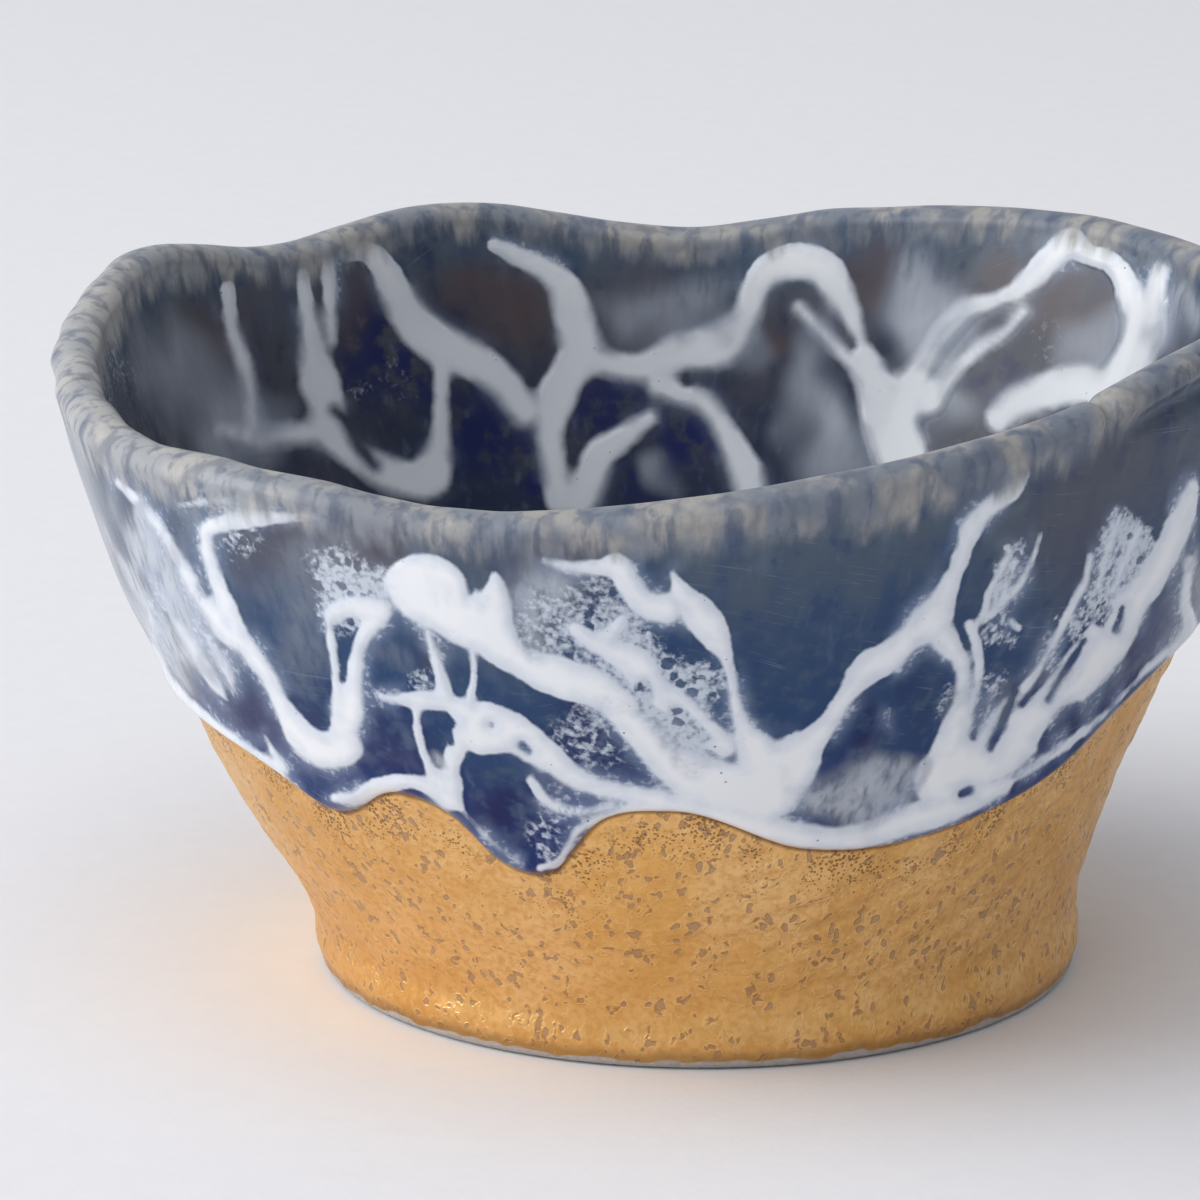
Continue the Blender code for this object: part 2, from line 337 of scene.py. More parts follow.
# Openings through the white, where the blue shows
OUTSIDE_CUTS = (
    ((336, 625, 2), (345, 650, 3), (343, 680, 2)),
    ((203, 585, 3), (208, 592, 4)),
    ((203, 687, 3), (212, 702, 3)),
    ((468, 564, 4), (471, 592, 2)),
    ((425, 720, 3), (436, 726, 2.5)),
    ((450, 734, 2.5), (452, 741, 2)),
    ((490, 724, 1.5), (492, 725, 1.5)),
    ((508, 706, 1.2), (511, 707, 1.2)),
    ((478, 805, 14), (500, 803, 21), (515, 825, 21), (528, 848, 14), (533, 857, 8)),
    ((490, 765, 4), (503, 760, 5)),
    ((522, 745, 2.5), (529, 752, 2)),
    ((545, 779, 5), (555, 788, 5), (566, 797, 4)),
    ((645, 688, 7), (647, 706, 5)),
    ((676, 714, 8), (703, 737, 6)),
    ((1018, 462, 2), (1018, 474, 2)),
    ((880, 738, 18), (868, 762, 16), (835, 758, 14)),
    ((1040, 745, 3), (1055, 730, 8), (1070, 715, 10), (1078, 709, 7)),
    ((1085, 720, 4), (1105, 700, 8), (1128, 672, 9), (1150, 640, 9), (1163, 618, 7), (1170, 602, 3)),
    ((1104, 610, 7), (1101, 621, 5)),
    ((1122, 608, 2), (1116, 630, 3)),
    ((960, 793, 3), (968, 790, 4)),
    ((990, 668, 3), (984, 700, 5), (974, 738, 3)),
    ((1016, 692, 3), (1003, 722, 4), (990, 748, 3)),
    ((1085, 640, 2), (1068, 668, 3), (1048, 700, 2)),
    ((1070, 640, 2.5), (1055, 662, 3), (1040, 685, 2.5), (1022, 705, 2)),
)

# White runs on the far inside, in the same terms
INSIDE_RUNS = (
    ((228, 288, 6), (232, 330, 6), (243, 365, 8), (250, 400, 7), (255, 436, 10)),
    ((303, 275, 5), (308, 320, 8), (312, 355, 13), (318, 380, 19), (322, 402, 21),
     (330, 430, 17), (352, 454, 13), (388, 474, 17), (420, 482, 17)),
    ((222, 432, 7), (255, 438, 10), (290, 434, 12), (325, 430, 13)),
    ((327, 240, 5), (330, 290, 6), (330, 340, 6)),
    ((348, 253, 7), (370, 253, 9), (385, 270, 12), (400, 300, 16), (420, 330, 20),
     (450, 350, 20), (480, 365, 18), (505, 385, 16), (525, 410, 16)),
    ((442, 360, 9), (440, 400, 7), (440, 440, 10), (432, 475, 20)),
    ((495, 245, 6), (520, 258, 9), (545, 270, 10), (565, 290, 16), (575, 320, 20),
     (580, 350, 20), (565, 380, 18), (555, 400, 20), (550, 430, 14), (555, 470, 12),
     (560, 500, 14)),
    ((590, 360, 12), (640, 368, 14), (680, 352, 18), (720, 345, 22), (745, 320, 14),
     (755, 290, 13), (770, 270, 15), (800, 262, 18), (825, 270, 17), (838, 290, 15),
     (850, 318, 12), (857, 345, 10), (868, 365, 14), (878, 390, 20), (888, 420, 26),
     (900, 450, 28)),
    ((800, 308, 6), (820, 330, 7), (840, 350, 7), (862, 372, 8)),
    ((650, 418, 7), (620, 440, 12), (600, 455, 15), (590, 480, 16), (580, 500, 18)),
    ((660, 385, 12), (680, 395, 9), (700, 400, 11), (715, 415, 10), (730, 440, 12),
     (745, 470, 16), (750, 490, 15)),
    ((900, 405, 22), (925, 365, 11), (945, 335, 11), (970, 310, 11), (1000, 300, 8),
     (1020, 290, 10), (1040, 270, 12), (1060, 250, 13), (1070, 242, 11)),
    ((930, 400, 16), (955, 372, 8), (985, 345, 9), (1005, 332, 7), (1025, 312, 6)),
    ((1070, 242, 10), (1090, 255, 9), (1110, 262, 9), (1125, 280, 11), (1130, 300, 13),
     (1140, 325, 18), (1135, 355, 20), (1110, 385, 20), (1070, 385, 20), (1020, 402, 16),
     (1000, 418, 14)),
    ((1160, 270, 8), (1155, 300, 11), (1150, 330, 16)),
)

# Added to half their width, and the openings through them
INSIDE_SWELL = 2
INSIDE_CUTS = (
    ((296, 405, 9), (298, 411, 9)),
    ((335, 411, 3), (348, 422, 5), (357, 440, 6), (368, 457, 5), (375, 466, 3)),
    ((532, 368, 7), (532, 380, 7)),
    ((733, 402, 8), (738, 410, 8)),
    ((833, 318, 4), (842, 332, 5), (852, 345, 4)),
    ((980, 328, 6), (995, 322, 7), (1003, 320, 5)),
)

# Patches of tone: pixel x, pixel y, radius in pixels, strength
OUTSIDE_TONES = {
    "navy": ((510, 820, 34, 1), (600, 740, 50, 0.7), (255, 720, 40, 0.9), (390, 740, 40, 0.6),
             (300, 690, 40, 0.5), (860, 735, 26, 0.9), (925, 690, 24, 0.35), (1130, 670, 30, 0.8),
             (1064, 722, 18, 0.9), (180, 680, 30, 0.6), (550, 788, 16, 1), (1020, 690, 26, 0.4)),
    "veil": ((848, 795, 42, 0.72), (812, 805, 30, 0.66), (885, 788, 36, 0.7), (912, 765, 22, 0.5),
             (150, 555, 42, 1), (168, 600, 40, 1), (190, 640, 34, 1), (140, 520, 30, 0.9),
             (212, 672, 28, 0.6), (1190, 575, 22, 0.7), (300, 590, 50, 0.42), (345, 560, 40, 0.4),
             (305, 655, 40, 0.36), (440, 585, 34, 0.36), (437, 755, 14, 0.85), (390, 650, 26, 0.4),
             (530, 590, 40, 0.5), (690, 738, 34, 0.7), (655, 722, 26, 0.7),
             (612, 718, 20, 0.5), (1050, 670, 34, 0.5), (985, 700, 34, 0.45), (540, 610, 40, 0.6)),
    "mauve": ((330, 545, 50, 0.7), (260, 545, 40, 0.6), (400, 560, 40, 0.5), (440, 640, 26, 0.5),
              (1080, 520, 70, 0.5), (540, 560, 60, 0.5), (1150, 440, 60, 0.4), (360, 530, 50, 0.8)),
    "lace": ((620, 650, 44, 0.9), (665, 690, 46, 1), (700, 735, 30, 0.9), (350, 590, 36, 0.9),
             (235, 505, 50, 0.7), (600, 745, 50, 0.55), (1008, 568, 20, 0.9), (1000, 600, 22, 0.9),
             (986, 632, 18, 0.7), (1140, 540, 22, 0.9), (1125, 565, 24, 0.9), (1105, 590, 22, 0.9),
             (1085, 620, 18, 0.8), (1065, 655, 16, 0.7), (552, 838, 22, 0.55),
             (420, 676, 26, 0.6), (975, 690, 26, 0.5), (545, 630, 44, 0.6), (600, 600, 40, 0.5)),
}

# Patches of the same tones on the sides: the lowest and highest share of the wall, and how many
SCATTERED_TONES = (
    ("navy", 0, 0.4, 8),
    ("veil", 0.1, 0.8, 6),
    ("mauve", 0.5, 1, 8),
    ("lace", 0.2, 0.8, 8),
)

# Patches of tone on the far inside
INSIDE_TONES = {
    "navy": ((395, 350, 60, 1), (482, 430, 50, 1), (610, 405, 34, 0.9), (690, 440, 36, 1),
             (535, 470, 26, 1), (420, 240, 30, 0.5), (990, 385, 24, 0.7), (640, 495, 30, 0.7)),
    "veil": ((812, 405, 46, 0.6), (822, 345, 36, 0.5), (835, 455, 50, 0.6), (915, 300, 54, 0.7),
             (945, 345, 46, 0.6), (1085, 345, 44, 0.6), (1180, 320, 34, 0.7), (640, 315, 44, 0.6),
             (700, 302, 36, 0.55), (200, 400, 70, 0.5), (150, 345, 50, 0.45), (250, 440, 60, 0.5),
             (660, 465, 30, 0.6), (960, 412, 34, 0.6), (735, 350, 34, 0.5)),
    "mauve": ((500, 290, 50, 1), (355, 300, 40, 0.8), (870, 270, 34, 0.9), (1010, 270, 34, 0.9),
              (1060, 300, 40, 0.8), (770, 340, 20, 0.9), (650, 300, 36, 0.6), (210, 340, 40, 0.7),
              (650, 240, 50, 0.4), (250, 300, 40, 0.5)),
    "lace": ((120, 370, 40, 0.4), (390, 390, 24, 0.5), (1040, 340, 40, 0.4)),
}


def hermite(knots, values, slopes, x):
    """A smooth curve through the knots, read at x."""
    i = np.clip(np.searchsorted(knots, x, side="right") - 1, 0, len(knots) - 2)
    step = knots[i + 1] - knots[i]
    s = (x - knots[i]) / step
    rising = s * s * (3 - 2 * s)
    leaving = s * (1 - s) ** 2 * step * slopes[i]
    arriving = s * s * (s - 1) * step * slopes[i + 1]
    return values[i] * (1 - rising) + values[i + 1] * rising + leaving + arriving


def round_curve(bearings, values, x):
    """A smooth closed curve round the cup, read at the bearings x."""
    knots = np.array(bearings[-2:], float) - 360
    knots = np.concatenate([knots, bearings, np.array(bearings[:2], float) + 360])
    heights = np.concatenate([values[-2:], values, values[:2]])
    slopes = np.gradient(heights, knots)
    wrapped = (np.asarray(x, float) - bearings[0]) % 360 + bearings[0]
    return hermite(knots, heights, slopes, wrapped)


def open_curve(points, x):
    knots, values = np.array(points, float).T
    return hermite(knots, values, np.gradient(values, knots), np.clip(x, knots[0], knots[-1]))


def shares_up(count):
    """Even shares from just above 0 up to 1."""
    return np.arange(1, count + 1) / count


def ramp(x, low, high):
    s = np.clip((x - low) / (high - low), 0, 1)
    return s * s * (3 - 2 * s)


def lip_height(bearing):
    bearings, rises, _ = zip(*LIP_WAVES)
    return RIM_HEIGHT * (1 + round_curve(bearings, rises, bearing))


def lip_reach(bearing):
    bearings, _, spreads = zip(*LIP_WAVES)
    return RIM_RADIUS * (1 + round_curve(bearings, spreads, bearing))


def drip_stations():
    """The front's stations, then even waves of uneven depth round the back."""
    stations = list(FRONT_DRIPS)
    start = FRONT_DRIPS[-1][0]
    step = (360 + FRONT_DRIPS[0][0] - start) / (2 * BACK_DRIPS + 1)
    for turn in range(1, 2 * BACK_DRIPS + 1):
        uneven = BACK_DRIP_UNEVENNESS * (math.sin(BACK_DRIP_TURN * turn) - 1)
        wave = (-1) ** turn * BACK_DRIP_DEPTH * (1 + uneven)
        stations.append((start + turn * step, BACK_DRIP_LEVEL + wave))
    return stations


def drip_height(bearing):
    bearings, shares = zip(*drip_stations())
    return DRIP_HEIGHT * round_curve(bearings, shares, bearing)


def groove_depth(bearing, height):
    start, full, fading, end = LIP_GROOVE_BEARINGS
    strength = ramp(bearing, start, full) * (1 - ramp(bearing, fading, end))
    below = lip_height(bearing) - LIP_CROWN - LIP_GROOVE_BELOW
    return LIP_GROOVE_DEPTH * strength * np.exp(-(((height - below) / LIP_GROOVE_WIDTH) ** 2))


def thrown_radius(bearing, height):
    share = open_curve(WALL_OUTLINE, height / (lip_height(bearing) - LIP_CROWN))
    edge = lip_reach(bearing) + LIP_THICKNESS / 2 - GLAZE_THICKNESS
    return FOOT_RADIUS + share * (edge - FOOT_RADIUS)


def body_radius(bearing, height):
    return thrown_radius(bearing, height) - groove_depth(bearing, height)


def inner_radius(bearing, height):
    share = height / (lip_height(bearing) - LIP_CROWN)
    wall = WALL_THICKNESS + (LIP_THICKNESS - WALL_THICKNESS) * ramp(share, WALL_THINS_FROM, 1)
    return thrown_radius(bearing, height) + GLAZE_THICKNESS - wall


def axis_shift(height):
    return -RIM_SHIFT * ramp(height, 0, RIM_SHIFT_DONE_AT * RIM_HEIGHT)


def ring(bearing, radius, height):
    turn = np.radians(bearing)
    radius = np.broadcast_to(radius, turn.shape)
    height = np.broadcast_to(height, turn.shape)
    across = axis_shift(height) + radius * np.sin(turn)
    return np.stack([across, -radius * np.cos(turn), height], axis=1)


def column_bearings(crowding):
    """Bearings of the lattice's columns, closer together at the front, or at the back."""
    turn = np.arange(COLUMNS) / COLUMNS - 0.5
    return 360 * turn - crowding * np.sin(2 * math.pi * turn)


def ripples(points, wavelength, seed):
    """Smooth irregular waves through space, between about -1 and 1."""
    rng = np.random.default_rng(seed)
    directions = rng.normal(size=(RIPPLE_WAVES, 3))
    directions /= np.linalg.norm(directions, axis=1)[:, None]
    lengths = wavelength * rng.uniform(0.7, 1.5, RIPPLE_WAVES)
    phases = rng.uniform(0, 2 * math.pi, RIPPLE_WAVES)
    total = np.zeros(points.shape[:-1])
    for direction, length, phase in zip(directions, lengths, phases):
        total += np.sin(points @ direction * (2 * math.pi / length) + phase)
    return total / math.sqrt(RIPPLE_WAVES)


def drip_steepness(bearing):
    """How much longer a step up the wall is than the same step square to the glaze's edge."""
    step = 0.5
    rise = drip_height(bearing + step) - drip_height(bearing - step)
    run = body_radius(bearing, drip_height(bearing)) * math.radians(2 * step)
    return np.sqrt(1 + (rise / run) ** 2)


def bead(distance):
    """Thickness of the glaze at a distance from its lower edge, a rolled bead."""
    turn = np.clip(distance / BEAD_ROUNDING, 0, 1)
    rolled = np.sqrt(1 - (1 - turn) ** 2)
    hump = GLAZE_BEAD * np.exp(-(((distance - BEAD_CENTRE) / BEAD_WIDTH) ** 2))
    hump *= ramp(distance, 0, BEAD_ROUNDING)
    return GLAZE_THICKNESS * rolled + hump - BEAD_TUCK * (1 - turn)


def glaze_lattice(bearing):
    """Rows of the glaze from its lower edge, over the lip, to the middle of the bowl."""
    shoulder = lip_height(bearing) - LIP_CROWN
    edge = drip_height(bearing)
    steep = drip_steepness(bearing)
    rows = []
    for distance in BEAD_ROWS_MM:
        height = edge + distance * MM * steep
        rows.append(ring(bearing, body_radius(bearing, height) + bead(distance * MM), height))
    low = edge + BEAD_ROWS_MM[-1] * MM * steep
    for share in shares_up(WALL_ROWS):
        height = low + share * (shoulder - low)
        distance = (height - edge) / steep
        rows.append(ring(bearing, body_radius(bearing, height) + bead(distance), height))
    outer = body_radius(bearing, shoulder) + GLAZE_THICKNESS
    inner = inner_radius(bearing, shoulder)
    middle = (outer + inner) / 2
    half = (outer - inner) / 2
    for step in range(1, LIP_ROWS + 1):
        turn = math.pi * step / LIP_ROWS
        height = shoulder + LIP_CROWN * math.sin(turn)
        rows.append(ring(bearing, middle + half * math.cos(turn), height))
    floor = FOOT_RECESS + FLOOR_THICKNESS
    flare = math.atan((RIM_RADIUS - FOOT_RADIUS) / RIM_HEIGHT)
    corner = floor + BOWL_CORNER_RADIUS * (1 - math.sin(flare))
    for share in shares_up(INNER_ROWS):
        height = shoulder + share * (corner - shoulder)
        rows.append(ring(bearing, inner_radius(bearing, height), height))
    centre = inner_radius(bearing, corner) - BOWL_CORNER_RADIUS * math.cos(flare)
    for turn in np.linspace(flare, math.pi / 2, CORNER_ROWS + 1)[1:]:
        height = floor + BOWL_CORNER_RADIUS * (1 - math.sin(turn))
        rows.append(ring(bearing, centre + BOWL_CORNER_RADIUS * math.cos(turn), height))
    for share in np.linspace(1, 0, FLOOR_ROWS + 1)[1:-1]:
        rows.append(ring(bearing, centre * share, floor - FLOOR_DISH * (1 - share**2)))
    return np.array(rows)


def base_lattice(bearing):
    """Rows of the clay from the middle of the underside to just above the glaze's edge."""
    bottom = FOOT_RADIUS - FOOT_EDGE_ROUND
    inside = bottom - FOOT_RING_WIDTH
    recess = inside - FOOT_RECESS_SLOPE
    rows = []
    for share in shares_up(UNDER_ROWS):
        rows.append(ring(bearing, recess * share, FOOT_RECESS))
    for share in shares_up(SLOPE_ROWS):
        height = FOOT_RECESS * (1 - ramp(share, 0, 1))
        rows.append(ring(bearing, recess + share * (inside - recess), height))
    for share in shares_up(UNDER_ROWS):
        rows.append(ring(bearing, inside + share * (bottom - inside), 0))
    for share in shares_up(EDGE_ROWS):
        turn = share * math.pi / 2
        height = FOOT_EDGE_ROUND * (1 - math.cos(turn))
        edge = body_radius(bearing, FOOT_EDGE_ROUND)
        rows.append(ring(bearing, bottom + (edge - bottom) * math.sin(turn), height))
    top = drip_height(bearing) + GOLD_UNDER_GLAZE
    for share in shares_up(GOLD_ROWS):
        height = FOOT_EDGE_ROUND + share * (top - FOOT_EDGE_ROUND)
        rows.append(ring(bearing, body_radius(bearing, height), height))
    return np.array(rows)


def lattice_normals(points):
    """Outward normals of a lattice whose columns close round the cup."""
    across = np.roll(points, -1, axis=1) - np.roll(points, 1, axis=1)
    upward = np.gradient(points, axis=0)
    normals = np.cross(across, upward)
    return normals / np.maximum(np.linalg.norm(normals, axis=2)[..., None], 1e-12)


def front_camera(foot):
    """The camera's place and axes: the foot's middle falls on its pixel at the stated distance."""
    column, row = VIEW_FOOT_PIXEL
    middle = VIEW_PIXELS / 2
    pitch = math.radians(VIEW_ELEVATION) - math.atan((row - middle) / VIEW_FOCAL_PIXELS)
    forward = Vector((0, math.cos(pitch), -math.sin(pitch)))
    right = Vector((1, 0, 0))
    up = right.cross(forward)
    place = foot - view_ray(forward, right, up, column, row) * VIEW_DISTANCE
    return place, forward, right, up


def view_ray(forward, right, up, column, row):
    middle = VIEW_PIXELS / 2
    across = (column - middle) / VIEW_FOCAL_PIXELS
    down = (row - middle) / VIEW_FOCAL_PIXELS
    return (forward + right * across - up * down).normalized()


class View:
    """The front view as a way to measure: where points fall in it, and how large a pixel is there."""

    def __init__(self, camera):
        self.place, self.forward, self.right, self.up = (np.array(v) for v in camera)

    def pixels(self, points):
        """Pixel places of the points, and the size of a pixel there in millimetres."""
        away = points - self.place
        depth = away @ self.forward
        scale = VIEW_FOCAL_PIXELS / depth
        column = VIEW_PIXELS / 2 + scale * (away @ self.right)
        row = VIEW_PIXELS / 2 - scale * (away @ self.up)
        return np.stack([column, row], axis=-1), 1 / (scale * MM)

    def facing(self, points, normals):
        """Above zero where the surface faces the view."""
        away = self.place - points
        return np.sum(away * normals, axis=-1) / np.linalg.norm(away, axis=-1)


def smooth_route(stations):
    if len(stations) < 3:
        return stations
    knots = np.arange(len(stations), dtype=float)
    slopes = np.gradient(stations, axis=0)
    finer = np.linspace(0, knots[-1], ROUTE_STEPS * (len(stations) - 1) + 1)
    columns = [hermite(knots, stations[:, k], slopes[:, k], finer) for k in range(stations.shape[1])]
    route = np.stack(columns, axis=1)
    route[:, -1] = np.maximum(route[:, -1], stations[:, -1].min())
    return route


def route_field(points, route, reach):
    """Signed distance to the edge of a run: above zero inside it, and never below -reach."""
    places = route[:, :-1]
    margin = route[:, -1].max() + reach
    near = np.all(points > places.min(axis=0) - margin, axis=-1)
    near &= np.all(points < places.max(axis=0) + margin, axis=-1)
    field = np.full(points.shape[:-1], -float(reach))
    close = points[near]
    best = np.full(len(close), -float(reach))
    for a, b in zip(route, route[1:]):
        along = b[:-1] - a[:-1]
        share = np.clip((close - a[:-1]) @ along / max(along @ along, 1e-9), 0, 1)
        gap = np.linalg.norm(close - a[:-1] - share[:, None] * along, axis=1)
        best = np.maximum(best, a[-1] + share * (b[-1] - a[-1]) - gap)
    field[near] = best
    return field


def join(a, b, fillet):
    """The larger of two fields, with a fillet where they meet."""
    share = np.clip(0.5 + 0.5 * (a - b) / fillet, 0, 1)
    return b + (a - b) * share + fillet * share * (1 - share)


def runs_field(points, runs, cuts, reach, fillet):
    field = np.full(points.shape[:-1], -float(reach))
    for route in runs:
        field = join(field, route_field(points, smooth_route(np.array(route, float)), reach), fillet)
    return cut_field(field, points, cuts, reach, fillet / 2)


def cut_field(field, points, cuts, reach, fillet):
    for route in cuts:
        field = -join(-field, route_field(points, smooth_route(np.array(route, float)), reach), fillet)
    return field


def patch_field(points, patches):
    """Several soft patches that merge: place, radius and strength of each."""
    rest = np.ones(points.shape[:-1])
    for *place, radius, strength in patches:
        gap = np.linalg.norm(points - np.array(place), axis=-1)
        rest *= 1 - strength * np.exp(-((gap / radius) ** 3))
    return 1 - rest


def slow_noise(points, scale, seed):
    """Noise like a material's own, about 0.2 to 0.8, with so many swells to the millimetre."""
    wavelength = 1.6 * MM / scale
    coarse = 0.13 * ripples(points, wavelength, seed)
    fine = 0.07 * ripples(points, wavelength / 2.4, seed)
    return 0.5 + coarse + fine


def lattice_place(points, bearings, bearing, share):
    """A point of the lattice, in millimetres, at a bearing and a share of the way up its rows."""
    column = np.argmin(np.abs((bearings - bearing + 180) % 360 - 180))
    row = int(round(np.clip(share, 0, 1) * (len(points) - 1)))
    return points[row, column] / MM


def free_runs(points, bearings, rng, spans, count, top, bottom, widths):
    """Runs that wander down the lattice between two bearings, with links from run to run."""
    start, end = spans
    step = (end - start) / count
    stations = len(FREE_RUN_TAPER)
    runs = []
    courses = []
    for i in range(count):
        shares = np.linspace(top - rng.uniform(0, 0.25), bottom, stations)
        drift = rng.uniform(-0.5, 0.5) * step
        sway = rng.uniform(-0.3, 0.3, stations) * step
        course = start + (i + 0.5) * step + drift * np.linspace(0, 1, stations) + sway
        half = rng.uniform(0.5, 1.2, stations) * widths * np.array(FREE_RUN_TAPER)
        runs.append([
            [*lattice_place(points, bearings, b, s), w] for b, s, w in zip(course, shares, half)
        ])
        courses.append(list(zip(course, shares)))
    for left, right in zip(courses, courses[1:]):
        for _ in range(2):
            a = left[rng.integers(1, 5)]
            b = right[rng.integers(2, 7)]
            middle = ((a[0] + b[0]) / 2, (a[1] + b[1]) / 2 - rng.uniform(0, 0.08))
            half = rng.uniform(0.25, 0.7, 3) * widths
            runs.append([
                [*lattice_place(points, bearings, *spot), w]
                for spot, w in zip((a, middle, b), half)
            ])
    return runs


def free_patches(points, bearings, rng, spans, count, low, high):
    """Places, radii and strengths of tone patches scattered between two bearings."""
    places = []
    for _ in range(count):
        bearing = rng.uniform(*spans)
        share = rng.uniform(low, high)
        place = lattice_place(points, bearings, bearing, share)
        places.append((*place, FREE_PATCH_MM * rng.uniform(0.6, 1.3), rng.uniform(0.5, 1)))
    return places


def closed_mesh(name, front, normals, fields, pole=None):
    """A thin closed shell: the front is a lattice, the back lies SHELL behind it.

    With a pole, the last rows close on it. Without one, they join the back.
    """
    rows, columns, _ = front.shape
    back_rows = BACK_ROWS if pole is None else BOWL_BACK_ROWS
    kept = sorted({0, rows - 1, *range(0, rows, max(rows // back_rows, 1))}, reverse=True)
    back = front[kept] - normals[kept] * SHELL
    corners = np.concatenate([front, back]).reshape(-1, 3)
    facing = np.concatenate([normals, -normals[kept]]).reshape(-1, 3)
    total = rows + len(kept)
    pairs = [(r, (r + 1) % total) for r in range(total) if pole is None or r != rows - 1]
    column = np.arange(columns)
    beside = (column + 1) % columns
    quads = [
        np.stack([a * columns + column, a * columns + beside, b * columns + beside,
                  b * columns + column], axis=1)
        for a, b in pairs
    ]
    quads = np.concatenate(quads)
    halves = shorter_halves(corners[quads])
    faces = np.take_along_axis(np.repeat(quads, 2, axis=0), halves, axis=1).tolist()
    caps = 0
    if pole is not None:
        inward = normals[-1].mean(axis=0)
        inward /= np.linalg.norm(inward)
        last = len(corners)
        corners = np.vstack([corners, pole, pole - inward * SHELL])
        facing = np.vstack([facing, inward, -inward])
        edge = (rows - 1) * columns
        faces += [[last, edge + i, edge + (i + 1) % columns] for i in range(columns)]
        edge = rows * columns
        faces += [[last + 1, edge + (i + 1) % columns, edge + i] for i in range(columns)]
        caps = 2 * columns
    data = bpy.data.meshes.new(name)
    data.from_pydata(corners.tolist(), [], faces)
    write_uvs(data, pairs, rows, columns, total, lattice_lengths(front), halves, caps)
    for key, field in fields.items():
        padded = np.zeros((len(corners),) + field.shape[2:], np.float32)
        padded[: rows * columns] = field.reshape((rows * columns,) + field.shape[2:])
        padded[total * columns:] = field[-1].mean(axis=0)
        vector = field.ndim == 3
        layer = data.attributes.new(key, "FLOAT_VECTOR" if vector else "FLOAT", "POINT")
        layer.data.foreach_set("vector" if vector else "value", padded.ravel())
    data.shade_smooth()
    data.normals_split_custom_set_from_vertices(facing.tolist())
    piece = bpy.data.objects.new(name, data)
    bpy.context.scene.collection.objects.link(piece)
    return piece


def lattice_lengths(front):
    """How far up the lattice each row is, from 0 to 1."""
    steps = np.linalg.norm(np.diff(front, axis=0), axis=2).mean(axis=1)
    along = np.concatenate([[0], np.cumsum(steps)])
    return along / along[-1]


def shorter_halves(quads):
    """For each quad, the corners of the two triangles that its shorter diagonal makes."""
    first = np.linalg.norm(quads[:, 0] - quads[:, 2], axis=1)
    second = np.linalg.norm(quads[:, 1] - quads[:, 3], axis=1)
    along_first = np.array([[0, 1, 2], [0, 2, 3]])
    along_second = np.array([[0, 1, 3], [1, 2, 3]])
    chosen = np.where((first <= second)[:, None, None], along_first, along_second)
    return chosen.reshape(-1, 3)


def write_uvs(data, pairs, rows, columns, total, front_v, halves, pole_faces):
    """Two bands for the front, one above the other, and a thin strip for the back."""
    bands = ((0.005, 0.475), (0.485, 0.955))
    strip = (0.965, 0.995)
    half = columns // 2
    column = np.arange(columns)
    left = (column % half) / half
    right = left + 1 / half
    band_low = np.where(column < half, bands[0][0], bands[1][0])
    band_size = bands[0][1] - bands[0][0]
    blocks = []
    for a, b in pairs:
        if a < rows and b < rows and b > a:
            low = band_low + front_v[a] * band_size
            high = band_low + front_v[b] * band_size
        else:
            low = np.full(columns, strip[0] + (strip[1] - strip[0]) * ((a - rows) % total) / total)
            high = low + (strip[1] - strip[0]) / total
        blocks.append(np.stack([left, low, right, low, right, high, left, high], axis=1))
    corners = np.repeat(np.concatenate(blocks).reshape(-1, 4, 2), 2, axis=0)
    uvs = np.take_along_axis(corners, halves[:, :, None], axis=1).ravel()
    pole = []
    for face in range(pole_faces):
        column_here = face % columns
        u = (column_here % half) / half
        v = bands[0 if column_here < half else 1][1] if face < columns else strip[1]
        pole += [u, v, u, v, u + 1 / half, v]
    layer = data.uv_layers.new(name="OFBake")
    layer.data.foreach_set("uv", np.concatenate([uvs, np.array(pole)]).astype(np.float32))


def paint(red, green, blue):
    """Linear colour of an everyday 0 to 255 tone."""
    tones = np.array([red, green, blue]) / 255
    linear = np.where(tones <= 0.04045, tones / 12.92, ((tones + 0.055) / 1.055) ** 2.4)
    return (*linear.tolist(), 1)


# Tones of the glaze, of bare clay and of the floor
THIN_VEIL = paint(122, 130, 144)
THICK_VEIL = paint(200, 206, 216)
HAZE = paint(140, 156, 184)
THIN_WHITE = paint(213, 220, 231)
THICK_WHITE = paint(242, 244, 247)
PORE = paint(50, 66, 104)
PAINTED_SHADE_BOWL_WHITE = paint(196, 202, 211)
LACE = paint(208, 216, 228)
STREAK = paint(100, 120, 144)
NAVY = paint(6, 22, 80)
SCRATCH = paint(150, 162, 182)
DARK_SAND = paint(134, 135, 138)
PALE_SAND = paint(181, 177, 170)
BLUE_SAND = paint(106, 118, 136)
PAINTED_LIT_SAND = paint(204, 202, 199)
DENT = paint(90, 100, 118)
STROKE = paint(76, 90, 116)
BARE_PATCH = paint(170, 134, 108)
DARK_FOOT = paint(150, 144, 138)
PALE_FOOT = paint(196, 190, 184)
DARK_CLAY = paint(140, 134, 128)
PALE_CLAY = paint(190, 184, 176)
GRIT = paint(96, 84, 74)
WARM_CLAY = paint(168, 150, 132)
DARK_FLOOR = paint(236, 236, 240)
PALE_FLOOR = paint(240, 240, 243)

# Tones of the gold, in linear light
GOLD = (0.79, 0.45, 0.145, 1)
BRIGHT_GOLD = (0.87, 0.55, 0.235, 1)
DULL_GOLD = (0.68, 0.36, 0.11, 1)
PAINTED_RIM_HIGHLIGHT = (0.95, 0.66, 0.32, 1)
GOLD_OUTLINE = (0.30, 0.15, 0.06, 1)
PIN_HOLE = (0.20, 0.09, 0.035, 1)
PAINTED_SHADE_UNDER_GLAZE = (0.14, 0.06, 0.02, 1)
BROWN_GOLD = (0.34, 0.19, 0.07, 1)


